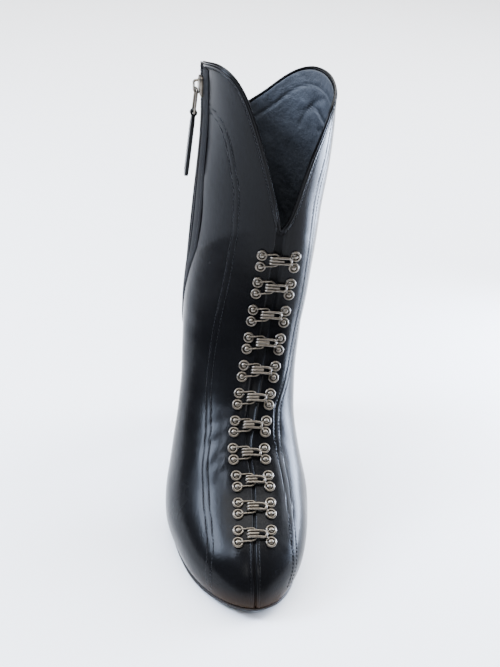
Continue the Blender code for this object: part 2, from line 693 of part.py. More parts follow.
def build():
    for old in list(bpy.data.objects):
        bpy.data.objects.remove(old)
    polished = material("black_polished_leather", (0.012, 0.012, 0.014), 0, 0.28)
    sole_leather = material("dark_sole_leather", (0.02, 0.017, 0.015), 0, 0.5)
    sock = material("black_lining_leather", (0.02, 0.02, 0.021), 0, 0.6)
    brass = material("antique_brass", (0.34, 0.27, 0.17), 1, 0.38)
    tape = material("black_zip_coil", (0.015, 0.015, 0.016), 0, 0.5)
    rubber = material("black_rubber", (0.01, 0.01, 0.01), 0, 0.7)

    upper(polished)
    solid("outsole", level_sheet(SOLE_EDGE, lambda p: sole_thickness(p) + GAP, -GAP), sole_leather)
    solid("insole", level_sheet(-WALL - INSOLE_CLEARANCE, lambda p: 0.0, INSOLE_THICKNESS), sock)
    solid("heel", [heel_ring(row) for row in HEEL_RINGS], polished)
    solid("heel_tip", [heel_ring(row) for row in HEEL_TIP_RINGS], rubber)
    for number in range(1, HOOK_COUNT + 1):
        along = FIRST_HOOK_ALONG - (number - 1) * HOOK_SPACING
        hook(number, along, brass)
        eye(number, along, brass)
    zip_rings = zip_strip(ZIP_BOTTOM, ZIP_TOP, ZIP_WIDTH, GAP - ZIP_CHANNEL_DEPTH, ZIP_PROUD, 20)
    solid("zip_chain", zip_rings, tape)
    zip_slider(brass)
    zip_pull(brass, polished)

    parts = list(bpy.data.objects)
    corners = np.array([vert.co for part in parts for vert in part.data.vertices])
    low, high = corners.min(axis=0), corners.max(axis=0)
    root = bpy.data.objects.new("boot", None)
    hinge = bpy.data.objects.new("zip_pull_hinge", None)
    for empty in (root, hinge):
        bpy.context.scene.collection.objects.link(empty)
    root.location = (-(low[0] + high[0]) / 2, -(low[1] + high[1]) / 2, -low[2])
    hinge.location = to_world(pull_hinge()[0])[0]
    hinge.parent = root
    for part in parts:
        part.parent = root
        if part.name.startswith("zip_pull"):
            part.data.transform(Matrix.Translation(-hinge.location))
            part.parent = hinge


build()
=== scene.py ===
import math

import bmesh
import bpy
import numpy as np
from mathutils import Matrix, Vector


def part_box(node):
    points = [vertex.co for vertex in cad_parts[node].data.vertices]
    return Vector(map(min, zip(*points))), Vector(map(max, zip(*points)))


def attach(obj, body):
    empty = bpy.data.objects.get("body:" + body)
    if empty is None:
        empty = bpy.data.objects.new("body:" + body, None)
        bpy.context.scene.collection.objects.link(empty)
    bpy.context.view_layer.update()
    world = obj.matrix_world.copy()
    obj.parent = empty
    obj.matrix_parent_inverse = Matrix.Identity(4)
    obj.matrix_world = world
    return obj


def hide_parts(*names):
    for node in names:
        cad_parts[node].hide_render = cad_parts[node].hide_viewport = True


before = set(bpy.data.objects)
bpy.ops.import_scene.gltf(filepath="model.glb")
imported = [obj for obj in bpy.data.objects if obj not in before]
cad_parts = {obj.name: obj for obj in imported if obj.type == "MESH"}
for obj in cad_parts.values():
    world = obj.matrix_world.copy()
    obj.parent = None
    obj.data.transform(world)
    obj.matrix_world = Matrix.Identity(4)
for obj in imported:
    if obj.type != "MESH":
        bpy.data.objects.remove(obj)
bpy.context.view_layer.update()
print("frame loaded:", len(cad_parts), "solids")

outer, inner = 1, -1  # the two sides of the boot

# The last, in millimetres: x to the outer side, distance behind the toe tip, height off the floor
last = {
    "length": 219.0,
    "ballAt": 80.0,
    "ballHalfWidth": 39.0,
    "heelRoundAt": 192.0,
    "heelHalfWidth": 27.0,
    "toeFullness": 1.7,
    "heelTip": (200.2, 211.1),  # front and back of the tip under the heel
    "pivot": (40.0, 260.0),  # the rays of all sections leave from here, in front of the ankle
    "frontLine": [(0, 8), (3.2, 18.5), (10, 27), (22, 34.5), (42, 43.5), (62, 54), (82, 68.5), (98, 84),
                  (111, 102), (121, 123), (127, 145), (129.5, 168), (130, 190), (128, 218), (123, 256),
                  (120, 275)],
    "featherLine": [(0, 8), (8, 6.3), (20, 4.5), (36, 3.35), (58, 3.3), (80, 3.35), (93, 6.6), (108, 16.5),
                    (124, 32.5), (140, 51), (156, 68), (172, 81.5), (190, 90.5), (206, 95.6), (219, 98.5)],
    "backLine": [(219, 98.5), (222.3, 112), (223, 128), (220.8, 148), (216.8, 168), (213.8, 188),
                 (213.4, 208), (215, 230), (218, 252), (220, 270), (222, 285)],
    "columns": ("ray", "centre", "ridge", "seam", outer, inner, "widest", "crown", "tuck"),
    "sections": [
        (-7.9, -1.0, 0.8, 0, 12.2, 13.2, 0.60, 2.0, 2.6),
        (-6.7, -1.8, 1.6, 0, 18.8, 18.6, 0.61, 2.0, 2.6),
        (-4.5, -2.9, 2.9, 0, 26.8, 25.6, 0.64, 2.0, 2.6),
        (-1.8, -4.0, 4.7, 0, 33.2, 31.8, 0.67, 2.0, 2.6),
        (2.2, -5.0, 6.2, 0, 38.4, 38.0, 0.71, 1.98, 2.6),
        (5.8, -5.8, 6.6, 0, 41.6, 41.6, 0.74, 1.94, 2.6),
        (9.0, -6.4, 5.8, 0, 43.6, 42.8, 0.75, 1.9, 2.6),
        (13.0, -6.9, 7.4, 0, 42.0, 41.6, 0.73, 1.87, 2.6),
        (18.0, -6.8, 10.2, 0, 37.6, 38.6, 0.69, 1.86, 2.5),
        (24.0, -6.0, 13.4, 0, 34.2, 36.4, 0.62, 1.88, 2.2),
        (32.0, -4.6, 16.6, 0, 34.0, 37.0, 0.55, 1.92, 1.95),
        (40.0, -3.0, 18.6, 0, 35.4, 38.6, 0.49, 1.96, 1.75),
        (48.0, -0.8, 18.4, 0, 36.6, 39.2, 0.46, 2.0, 1.7),
        (56.0, 2.0, 15.8, -2.0, 37.8, 38.4, 0.465, 2.0, 1.75),
        (66.0, 5.4, 12.0, -4.4, 38.6, 37.0, 0.48, 2.0, 1.85),
        (78.0, 8.2, 8.4, -6.4, 38.6, 36.2, 0.49, 2.0, 1.95),
        (92.0, 9.6, 6.4, -7.2, 39.0, 37.6, 0.50, 2.0, 2.0),
        (98.0, 10.0, 5.8, -7.4, 39.4, 38.2, 0.50, 2.0, 2.0),
    ],
    "waist": [(80, 39, 39), (92, 38.2, 37.6), (106, 34, 32.4), (120, 28.8, 26.6), (136, 24.8, 22.4),
              (152, 23, 21.4), (168, 24, 23.2), (182, 26.2, 26), (192, 27, 27)],
    # the collar's height on the outer and the inner side, by the turn round the shaft from front to back
    "collar": [(0, 176, 176), (10, 187, 203), (18, 204, 222), (26, 219, 238), (34, 229, 251.5),
               (42, 237.5, 260), (52, 245.5, 265), (64, 250.5, 266.5), (78, 253.5, 265), (92, 256, 262.5),
               (106, 257, 260), (120, 256, 257), (134, 252, 252), (148, 245, 245), (162, 236.5, 236.5),
               (180, 228, 228)],
}
mm = 0.001
finePoints = 1200  # points of a finely drawn line
slopeStep, stationStep = 0.05, 0.005  # small steps to read slopes with, in millimetres and in stations


def smoothCurve(xs, ys):  # natural cubic spline, held at its ends
    xs, ys = np.asarray(xs, float), np.asarray(ys, float)
    step, count = np.diff(xs), len(xs)
    system, right = np.eye(count), np.zeros(count)
    for i in range(1, count - 1):
        system[i, i - 1:i + 2] = step[i - 1], 2 * (step[i - 1] + step[i]), step[i]
        right[i] = 6 * ((ys[i + 1] - ys[i]) / step[i] - (ys[i] - ys[i - 1]) / step[i - 1])
    bend = np.linalg.solve(system, right)

    def at(x):
        x = np.clip(np.asarray(x, float), xs[0], xs[-1])
        i = np.clip(np.searchsorted(xs, x) - 1, 0, count - 2)
        before, after, h = x - xs[i], xs[i + 1] - x, step[i]
        return ((bend[i] * after**3 + bend[i + 1] * before**3) / (6 * h)
                + (ys[i] / h - bend[i] * h / 6) * after + (ys[i + 1] / h - bend[i + 1] * h / 6) * before)

    return at


pivotToe, pivotHeight = last["pivot"]


def rayDegrees(fromToe, height):
    return np.degrees(np.arctan2(fromToe - pivotToe, pivotHeight - height))


toeRay = float(rayDegrees(*last["frontLine"][0]))


def station(ray):
    return np.sqrt(np.maximum(np.asarray(ray, float) - toeRay, 0))


def profileRadius(line):
    fromToe, height = np.array(line, float).T
    radii = np.hypot(fromToe - pivotToe, height - pivotHeight)
    return smoothCurve(station(rayDegrees(fromToe, height)), radii)


def sectionCurve(column):
    values = [row[column] for row in last["sections"]]
    start = values[0] if last["columns"][column] in ("widest", "crown", "tuck") else 0
    return smoothCurve([0] + [float(station(row[0])) for row in last["sections"]], [start] + values)


def sideCurves(rows):  # a curve for the outer side and one for the inner side
    table = np.array(rows, float)
    return {side: smoothCurve(table[:, 0], table[:, column]) for side, column in ((outer, 1), (inner, 2))}


frontRadius = profileRadius(last["frontLine"])
featherRadius = profileRadius(last["featherLine"])
backRadius = profileRadius(last["backLine"])
section = {name: sectionCurve(i) for i, name in enumerate(last["columns"]) if i}
waistCurve, collarHeight = sideCurves(last["waist"]), sideCurves(last["collar"])
heelStation = float(station(rayDegrees(*last["featherLine"][-1])))
topStation = float(station(rayDegrees(*last["backLine"][-1])))


def soleHalfWidth(fromToe, side):
    fromToe = np.asarray(fromToe, float)
    ahead = np.clip(1 - fromToe / last["ballAt"], 0, 1)
    toe = last["ballHalfWidth"] * np.sqrt(np.clip(1 - ahead**last["toeFullness"], 0, 1))
    start = last["heelRoundAt"]
    behind = np.clip((fromToe - start) / (last["length"] - start), 0, 1)
    heel = last["heelHalfWidth"] * np.sqrt(1 - behind**2)
    rear = np.where(fromToe > start, heel, waistCurve[side](fromToe))
    return np.where(fromToe < last["ballAt"], toe, rear)


def rearRadius(s):
    return np.where(s < heelStation, featherRadius(s), backRadius(s))


def onRay(s, radius):
    angle = np.radians(s * s + toeRay)
    return pivotToe + radius * np.sin(angle), pivotHeight - radius * np.cos(angle)


def halfWidth(s, across, side):
    widest, crown, tuck = section["widest"](s), section["crown"](s), section["tuck"](s)
    full = section[side](s)
    sole = np.where(s < heelStation, soleHalfWidth(onRay(s, featherRadius(s))[0], side), 0)
    sole = np.minimum(sole, full)
    rise = np.clip(1 - across / widest, 0, 1)
    fall = np.clip((across - widest) / (1 - widest), 0, 1)
    upperPart = full * np.sqrt(np.clip(1 - rise**crown, 0, 1))
    lowerPart = np.sqrt(sole**2 + (full**2 - sole**2) * np.clip(1 - fall**tuck, 0, 1) ** (2 / tuck))
    return np.where(across < widest, upperPart, lowerPart)


def middle(s, across):  # the left-foot curve of the whole boot
    across = np.clip(across, 0, 1)
    return section["centre"](s) + section["ridge"](s) * (1 - across) ** 2 + section["seam"](s) * across**2


def skin(s, across, side):
    s, across = np.broadcast_arrays(np.asarray(s, float), np.asarray(across, float))
    near, far = frontRadius(s), rearRadius(s)
    fromToe, height = onRay(s, near + (far - near) * across)
    return np.stack([middle(s, across) + side * halfWidth(s, across, side), fromToe, height], -1)


def skinBeside(fromToe, height, side):  # the skin found from its place in the side view
    s = station(rayDegrees(fromToe, height))
    radius = np.hypot(fromToe - pivotToe, height - pivotHeight)
    across = (radius - frontRadius(s)) / (rearRadius(s) - frontRadius(s))
    x = middle(s, across) + side * halfWidth(s, across, side)
    return np.stack(np.broadcast_arrays(x, fromToe, height), -1).astype(float)


def unit(vectors):
    return vectors / np.maximum(np.linalg.norm(vectors, axis=-1, keepdims=True), 1e-12)


def sideNormal(fromToe, height, side):
    along = skinBeside(fromToe + slopeStep, height, side) - skinBeside(fromToe - slopeStep, height, side)
    up = skinBeside(fromToe, height + slopeStep, side) - skinBeside(fromToe, height - slopeStep, side)
    return unit(np.cross(along, up)) * side


def lengthsAlong(points):
    return np.concatenate([[0], np.cumsum(np.linalg.norm(np.diff(points, axis=0), axis=1))])


def evenly(points, shares):
    lengths = lengthsAlong(points)
    return np.stack([np.interp(np.asarray(shares) * lengths[-1], lengths, axis) for axis in points.T], -1)


def smoothPath(rows, count):  # a smooth line through a few rows
    rows = np.array(rows, float)
    at = lengthsAlong(rows)
    steps = np.linspace(0, at[-1], count)
    return np.stack([smoothCurve(at, column)(steps) for column in rows.T], -1)


frontStations = np.linspace(0, topStation, finePoints)
featherStations = np.linspace(0, heelStation, finePoints)
frontLengths = lengthsAlong(skin(frontStations, 0, outer))
heelCentre = float(middle(heelStation, 1.0))


def collarPlaces(side):  # stations and across shares of the collar's edge, from the front to the back
    turns = np.linspace(0, 180, 240)
    shares = (1 - np.cos(np.radians(turns))) / 2
    stations = np.linspace(heelStation * 0.8, topStation, finePoints)
    heights = collarHeight[side](turns)
    found = [np.interp(z, skin(stations, a, side)[:, 2], stations) for a, z in zip(shares, heights)]
    return np.array(found), shares


def collarLine(side):
    return skin(*collarPlaces(side), side)


def evenStations(first, final, across, side, levels):
    stations = np.linspace(first, final, finePoints)
    lengths = lengthsAlong(skin(stations, across, side))
    return np.interp(levels * lengths[-1], lengths, stations)


def sideView(s, across):
    return np.stack(onRay(s, frontRadius(s) + (rearRadius(s) - frontRadius(s)) * across), -1)


def frontFrame(along, across):  # point and normal: along the centre line from the toe, and across from it
    side = outer if across >= 0 else inner
    s = np.interp(along, frontLengths, frontStations)
    shares = np.linspace(0, 1, 300) ** 2 * 0.5  # the front half of a section, closest together at the centre
    share = np.interp(abs(across), lengthsAlong(skin(s, shares, side)), shares)
    upward = skin(s + stationStep, share, side) - skin(s - stationStep, share, side)
    sideways = np.array([1.0, 0, 0])
    if abs(across) > slopeStep:
        sideways = side * (skin(s, share * 1.02, side) - skin(s, share * 0.98, side))
    return skin(s, share, side), unit(np.cross(sideways, upward))


def lifted(along, across, height):
    point, normal = frontFrame(along, across)
    return point + normal * height


tipLow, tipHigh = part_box("heel_tip")  # the tip's known place gives the shift from the last to the frame
frameShift = np.array([
    (tipLow.x + tipHigh.x) / mm / 2 - heelCentre,
    (tipLow.y + tipHigh.y) / mm / 2 - sum(last["heelTip"]) / 2,
    0,
])


def toWorld(points):
    return (np.asarray(points, float) + frameShift) * mm


print("last drawn, shift", frameShift.round(3))


# materials: one function for colours, one for nodes
def srgb(hexColour):
    values = [int(hexColour[i:i + 2], 16) / 255 for i in (1, 3, 5)]
    return [v / 12.92 if v <= 0.04045 else ((v + 0.055) / 1.055) ** 2.4 for v in values] + [1]


def addNode(tree, kind, links=None, **settings):
    node = tree.nodes.new(kind)
    for name, value in settings.items():
        if name in node.bl_rna.properties:
            setattr(node, name, value)
        else:
            socket = int(name[5:]) if name.startswith("input") else name.replace("_", " ")
            node.inputs[socket].default_value = value
    for socket, source in (links or {}).items():
        tree.links.new(source, node.inputs[socket])
    return node


def newMaterial(name):
    made = bpy.data.materials.new(name)
    made.use_nodes = True
    return made, made.node_tree, made.node_tree.nodes["Principled BSDF"]


def pattern(tree, kind, sizeMm, **settings):  # a pattern by the size of its marks
    place = addNode(tree, "ShaderNodeTexCoord").outputs["Object"]
    return addNode(tree, "ShaderNodeTex" + kind, {"Vector": place}, Scale=1 / (sizeMm * mm), **settings)


def blend(tree, factor, dark, light):
    return addNode(tree, "ShaderNodeMix", {"Factor": factor}, data_type="RGBA",
                   input6=srgb(dark), input7=srgb(light)).outputs[2]


def patchy(tree, cloud, low, high):  # the middle of a noise, stretched from low to high
    return addNode(tree, "ShaderNodeMapRange", {"Value": cloud}, From_Min=0.3, From_Max=0.7,
                   To_Min=low, To_Max=high).outputs[0]


def weighted(tree, value, weight, rest=None):  # a value times its weight, plus the rest
    links = {0: value} if rest is None else {0: value, 2: rest}
    return addNode(tree, "ShaderNodeMath", links, operation="MULTIPLY_ADD",
                   input1=weight, input2=0).outputs[0]


def markValue(tree, name):
    return addNode(tree, "ShaderNodeAttribute", attribute_name=name).outputs["Fac"]


def bumped(tree, height, depth, strength=1.0):
    return addNode(tree, "ShaderNodeBump", {"Height": height}, Strength=strength, Distance=depth).outputs[0]


def dress(tree, shader, links, **values):  # sockets of the shader that are linked, and those that are set
    for name, source in links.items():
        tree.links.new(source, shader.inputs[name])
    for name, value in values.items():
        shader.inputs[name.replace("_", " ")].default_value = value


leather = {
    "colour": "#0e0e0f", "deep": "#080809", "paintedFloorReflection": "#3a2a1d",  # black calf; brown painted along its lower edge, a painted reflection of a brown floor
    "roughness": (0.16, 0.28), "cloudMm": 28.0, "wrinkleMm": 9.0, "wrinkleDepth": 0.19,
    "grainMm": 0.55, "grainDepth": 0.035,  # hair cells drawn coarser than real ones, so that they show
    "rowMm": 0.72, "rowDepth": 0.32, "underlapRoughness": 0.45,
}


def polishedCalf(name, sewn):
    # polished calf: smooth grain under a wax coat, broad soft highlights with fine hair cells in them
    made, tree, shader = newMaterial(name)
    cloud = pattern(tree, "Noise", leather["cloudMm"], Detail=3).outputs["Fac"]
    grain = pattern(tree, "Voronoi", leather["grainMm"]).outputs["Distance"]
    wrinkle = pattern(tree, "Noise", leather["wrinkleMm"], Detail=6, Roughness=0.6).outputs["Fac"]
    rough = patchy(tree, cloud, *leather["roughness"])
    colour = blend(tree, cloud, leather["deep"], leather["colour"])
    height = weighted(tree, wrinkle, leather["wrinkleDepth"], weighted(tree, grain, leather["grainDepth"]))
    if sewn:  # the upper's own marks: the stitch rows, the gap in front, and brown painted along the feather edge as a painted reflection of a brown floor
        near = addNode(tree, "ShaderNodeMapRange", {"Value": markValue(tree, "rowDistance")},
                       interpolation_type="SMOOTHSTEP", From_Min=0, From_Max=leather["rowMm"],
                       To_Min=-leather["rowDepth"], To_Max=0).outputs[0]
        height = weighted(tree, near, 1, height)
        rough = weighted(tree, markValue(tree, "underlap"), leather["underlapRoughness"], rough)
        # brown mixed in along the feather edge: a painted reflection of a brown floor
        colour = addNode(tree, "ShaderNodeMix", {"Factor": markValue(tree, "paintedFloorReflection"), 6: colour},
                         data_type="RGBA", input7=srgb(leather["paintedFloorReflection"])).outputs[2]
    dress(tree, shader, {"Base Color": colour, "Roughness": rough, "Normal": bumped(tree, height, mm)},
          IOR=1.36, Specular_IOR_Level=0.11, Coat_Weight=0.05, Coat_Roughness=0.1, Coat_IOR=1.3)
    return made


lining = {
    "colour": "#474b51", "deep": "#1d2024",  # bluish black; the tone follows the puckers, with painted shade in their hollows and a painted highlight on their crests
    "puckerMm": 14.0, "puckerDepth": 2.6,
    "poreMm": 0.8, "poreDepth": 0.08,  # pores drawn coarser than real ones, so that they show
}


def liningPigskin():
    # lining pigskin: matte dyed grain with pores, loosely puckered where it is only glued at its edges
    made, tree, shader = newMaterial("dyedLiningPigskin")
    pucker = pattern(tree, "Noise", lining["puckerMm"], Detail=5, Roughness=0.6).outputs["Fac"]
    pores = pattern(tree, "Voronoi", lining["poreMm"]).outputs["Distance"]
    sewn = markValue(tree, "liningCrease")  # the facing's seam and a few creases
    height = weighted(tree, pucker, lining["puckerDepth"], weighted(tree, pores, lining["poreDepth"], sewn))
    # the pucker noise also sets the tone: painted shade in the hollows, painted highlight on the crests
    colour = blend(tree, pucker, lining["deep"], lining["colour"])
    dress(tree, shader, {"Base Color": colour, "Normal": bumped(tree, height, mm)},
          Roughness=0.55, Specular_IOR_Level=0.2)
    return made


metal = {
    "patchMm": 1.6, "patchRoughness": 0.1,
    "antiquedBrass": ("#433d36", "#7c756b", 0.27),  # dull, bright, roughness
    # near-black metal for the narrow well round each dome: its oxide deepened with painted shade
    "wellOxideAndShadeBrass": ("#14120f", "#2c2823", 0.45),
}


def antiqueMetal(name):
    # antiqued brass: nickel-grey plating relieved on its high spots, soft and cloudy in the highlights
    dull, bright, roughness = metal[name]
    made, tree, shader = newMaterial(name)
    patch = pattern(tree, "Noise", metal["patchMm"], Detail=3).outputs["Fac"]
    rough = patchy(tree, patch, roughness + metal["patchRoughness"], roughness)
    dress(tree, shader, {"Base Color": blend(tree, patch, dull, bright), "Roughness": rough}, Metallic=1.0)
    return made


soleStock = {
    "colour": "#1b1511", "dark": "#0e0b09", "fibreMm": 3.0,
    "layerMm": 18.0, "layerDepth": 0.4,  # size of the wave pattern, which has some three bands in it
}


def edgeLeather():
    # vegetable-tanned sole leather, its edge trimmed, stained dark and waxed, with faint layers
    made, tree, shader = newMaterial("stainedSoleLeather")
    fibres = pattern(tree, "Noise", soleStock["fibreMm"], Detail=5).outputs["Fac"]
    layers = pattern(tree, "Wave", soleStock["layerMm"], bands_direction="Z", Distortion=2.0, Detail=2)
    height = weighted(tree, layers.outputs["Fac"], soleStock["layerDepth"], fibres)
    colour = blend(tree, fibres, soleStock["dark"], soleStock["colour"])
    dress(tree, shader, {"Base Color": colour, "Normal": bumped(tree, height, 0.2 * mm, 0.6)},
          Roughness=0.42, Specular_IOR_Level=0.16)
    return made


# dark and light colour, roughness, grain and its depth in mm
# the weave and the thread are drawn coarser than real ones, so that they show
stocks = {
    "mouldedHeelRubber": ("#0c0c0d", "#1a1a1b", 0.62, 0.6, 0.1),
    "nylonZipCoil": ("#0e0e10", "#1d1e20", 0.38, 0.4, 0.05),
    "wovenZipTape": ("#060607", "#111113", 0.75, 0.5, 0.2),
    "waxedThread": ("#0d0e10", "#1e2024", 0.4, 0.35, 0.08),
}


def speckled(name):
    # moulded or woven black stock: matte, with an even fine grain
    dark, light, roughness, grainMm, depthMm = stocks[name]
    made, tree, shader = newMaterial(name)
    grain = pattern(tree, "Noise", grainMm, Detail=2).outputs["Fac"]
    colour, relief = blend(tree, grain, dark, light), bumped(tree, grain, depthMm * mm, 0.5)
    dress(tree, shader, {"Base Color": colour, "Normal": relief},
          Roughness=roughness, Specular_IOR_Level=0.14)
    return made


upperCalf, plainCalf = polishedCalf("polishedBlackCalf", True), polishedCalf("polishedCoverCalf", False)
liningStock, soleEdge = liningPigskin(), edgeLeather()
brass, wellOxideAndShade = antiqueMetal("antiquedBrass"), antiqueMetal("wellOxideAndShadeBrass")
tipRubber, zipNylon, zipWeave, thread = (speckled(name) for name in stocks)
print("materials made")


# small tools for the pieces
def newObject(name, data):
    made = bpy.data.objects.new(name, data)
    bpy.context.scene.collection.objects.link(made)
    return made


def meshOf(name, bm):
    mesh = bpy.data.meshes.new(name)
    bm.to_mesh(mesh)
    bm.free()
    return mesh


def joinInto(bm, other):
    mesh = meshOf("joined", other)
    bm.from_mesh(mesh)
    bpy.data.meshes.remove(mesh)


def addPiece(name, bm, surfaces, body="boot", replaced=()):
    mesh = meshOf(name, bm)
    for surface in surfaces:
        mesh.materials.append(surface)
    mesh.shade_smooth()
    piece = newObject(name, mesh)
    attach(piece, body)
    if replaced:
        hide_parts(*replaced)
    print("piece", name, len(mesh.polygons), "faces")
    return piece


def loft(rings, ends=True, marks=None):  # a grid wrapped round a stack of rings, with marks for the material
    placed, marks = toWorld(rings), marks or {}
    count, sides = placed.shape[:2]
    bm = bmesh.new()
    for name in marks:
        bm.verts.layers.float.new(name)
    layers = {name: bm.verts.layers.float[name] for name in marks}
    bmesh.ops.create_grid(bm, x_segments=sides, y_segments=count - 1, size=1)
    for vert in bm.verts:
        around, up = round((vert.co.x + 1) / 2 * sides) % sides, round((vert.co.y + 1) / 2 * (count - 1))
        vert.co = placed[up, around]
        for name, layer in layers.items():
            vert[layer] = marks[name][up, around]
    bmesh.ops.remove_doubles(bm, verts=bm.verts, dist=0.0000005)
    if ends:
        bmesh.ops.holes_fill(bm, edges=[e for e in bm.edges if e.is_boundary], sides=0)
        bmesh.ops.recalc_face_normals(bm, faces=bm.faces)
    return bm


def sweepInto(bm, paths, radius, closed=False, finish=2):  # round wire along paths
    curve = bpy.data.curves.new("wire", "CURVE")
    curve.dimensions = "3D"
    curve.bevel_depth = radius * mm
    curve.bevel_resolution = finish
    curve.use_fill_caps = True
    for path in paths:
        spline = curve.splines.new("POLY")
        spline.points.add(len(path) - 1)
        for point, place in zip(spline.points, toWorld(path)):
            point.co = (*place, 1)
        spline.use_cyclic_u = closed
    wire = newObject("wire", curve)
    mesh = bpy.data.meshes.new_from_object(wire.evaluated_get(bpy.context.evaluated_depsgraph_get()))
    bm.from_mesh(mesh)
    bpy.data.objects.remove(wire)
    bpy.data.curves.remove(curve)
    bpy.data.meshes.remove(mesh)


def placeMatrix(point, run, normal, scale=(1, 1, 1)):  # x along the run, z out of the surface
    run, normal = unit(np.asarray(run, float)), unit(np.asarray(normal, float))
    beside = unit(np.cross(normal, run))
    made = np.eye(4)
    made[:3, :3] = np.stack([run, beside, np.cross(run, beside)], -1) * scale
    made[:3, 3] = toWorld(point)
    return Matrix(made.tolist())


def scatterInto(bm, template, places):
    for place in places:
        copy = template.copy()
        copy.transform(place)
        bm.from_mesh(copy)
        bpy.data.meshes.remove(copy)


def scatterPiece(name, places, surface, body="boot"):  # the stitch's form at many places
    bm = bmesh.new()
    scatterInto(bm, stitch, places)
    addPiece(name, bm, [surface], body)


def nearest(points, line):  # distance to a line, and the share along it of the nearest place
    start, run = line[:-1], np.diff(line, axis=0)
    lengths, squared = lengthsAlong(line), (run**2).sum(1)
    flat, batch = points.reshape(-1, 3), 3000  # points at a time, to spare memory
    found = []
    for first in range(0, len(flat), batch):
        part = flat[first:first + batch]
        t = np.clip(((part[:, None] - start) * run).sum(-1) / squared, 0, 1)
        away = ((part[:, None] - (start + t[..., None] * run)) ** 2).sum(-1)
        best = np.argmin(away, axis=1)
        pick = np.arange(len(part)), best
        found.append((np.sqrt(away[pick]), (lengths[best] + t[pick] * np.sqrt(squared[best])) / lengths[-1]))
    return [np.concatenate(values).reshape(points.shape[:-1]) for values in zip(*found)]


# the stitched seams, by distance behind the toe and height on each side
seams = {
    outer: [(14.5, 8.5), (18.4, 16.1), (27.1, 27.4), (39.6, 35.8), (57.4, 45.6), (71.5, 54.4), (80.7, 61.9),
            (88.8, 69.2), (96.3, 76), (106, 83.8), (114.5, 92.2), (121.5, 102.5), (128, 115.5), (133, 130),
            (136.3, 146), (138.4, 162), (139.6, 182), (139.8, 204), (141.2, 224), (144, 240), (148, 251)],
    inner: [(15.5, 10), (21, 23), (35, 32.8), (52.3, 40.7), (67, 48.8), (87.1, 63.4), (106.5, 80),
            (118.2, 96.4), (126.7, 115.1), (131.2, 130.8), (135, 151), (137.6, 169.4), (138.6, 186),
            (138.8, 200), (139.4, 209), (140.8, 221), (143.9, 231.5), (147.4, 236.2), (152, 239),
            (159.5, 240.3)],
    "rowApart": 3.8, "stitch": 1.65, "pitch": 2.2, "threadRadius": 0.27, "threadFlat": 0.8,
    "frontRows": 2.5, "frontRun": (5, 40, 30), "frontEnd": 44,  # beside the centre seam, up to the last hook
    "toplineRow": 2.3,
    "lift": {"seam": -0.05, "topline": -0.08, "front": 0.05},  # how far the thread's middle lies off the skin
}


def seamLine(side):
    return skinBeside(*smoothPath(seams[side], 170).T, side)


# soft folds, each from one place to another: along the centre line from the toe, across, depth and width
folds = {
    "rows": [
        (97, -8, 85, -26, 0.2, 4.0), (88, -9, 75, -23, 0.16, 3.4), (106, -10, 98, -32, 0.2, 5.0),
        (114, -12, 111, -36, 0.2, 5.4), (99, 9, 91, 26, 0.12, 4.4), (109, 10, 104, 32, 0.15, 5.0),
        (122, 9, 121, 34, 0.15, 5.4),
    ],
    "bow": 2.2,
    "sideRows": [  # folds at the ankle, by places in the side view
        (outer, (126, 112), (150, 116), (176, 126), 0.3, 6.0),
        (inner, (130, 108), (146, 111), (158, 117), 0.16, 6.5),
        (outer, (134, 96), (156, 104), (180, 118), 0.22, 6.0),
        (outer, (168, 168), (188, 160), (206, 158), 0.25, 6.5),
        (inner, (182, 160), (196, 155), (208, 156), 0.22, 6.5),
    ],
    "lining": [  # creases of the loose lining inside the outer flap
        [(146, 226), (158, 233), (170, 229), (184, 234), (197, 228)],
        [(152, 215), (163, 219), (172, 224), (180, 221)],
        [(172, 243), (184, 238), (192, 229), (196, 218)],
    ],
    "waves": 9, "waveMm": (26, 70), "waveDepth": 0.08, "wavePhase": (0, 6.28), "seed": 11,
    "calmEdge": 14, "calmFront": (6, 8, 0.15),  # the waves fade at the edges and beside the hooks
}
upperShape = {
    "columns": 150, "wall": 2.2,
    "lowLevels": (0, 0.004), "levels": (0.012, 0.98, 140),  # rows of the grid, closer together at the topline
    "topLevels": (0.9855, 0.9895, 0.993, 0.996, 0.9983, 1),
    "frontGap": [(0, 0.5), (60, 0.55), (92, 0.8), (112, 1.9), (140, 2.3), (240, 2.3)],  # half width
    "frontDepth": 0.95, "frontWall": (0.45, 0.7), "underlap": (0.4, 0.8),  # reach past the gap, and slope
    # raised and sunk lines: height, offset and width
    "foldedEdge": (0.25, 1.6, 1.2), "seamPuff": (0.16, 0, 1.7), "rowDent": (-0.12, 0, 0.8),
    "toplineFold": (0.18, 1.1, 1.0), "toplineDent": (-0.15, seams["toplineRow"], 0.7),
    "facingSeam": (-0.7, 10, 1.3), "liningCrease": (-1.4, 0, 1.7),
    "edgeDrop": 0.75, "edgeRound": 0.8,
    "paintedFloorReflection": (0.6, 10, 1.5), "paintedFloorReflectionEnd": (170, 50),  # brown painted reflection along the feather edge: strength, reach and fall, and where it fades out
}


def foldLines():
    for along, across, alongEnd, acrossEnd, depth, width in folds["rows"]:
        t = np.linspace(0, 1, 14)
        alongs = along + (alongEnd - along) * t + folds["bow"] * np.sin(np.pi * t)
        acrosses = across + (acrossEnd - across) * t
        yield np.array([lifted(*place, 0) for place in zip(alongs, acrosses)]), depth, width
    for side, *places, depth, width in folds["sideRows"]:
        t = np.linspace(0, 1, 16)
        line = [smoothCurve((0, 0.5, 1), column)(t) for column in np.array(places, float).T]
        yield skinBeside(*line, side), depth, width


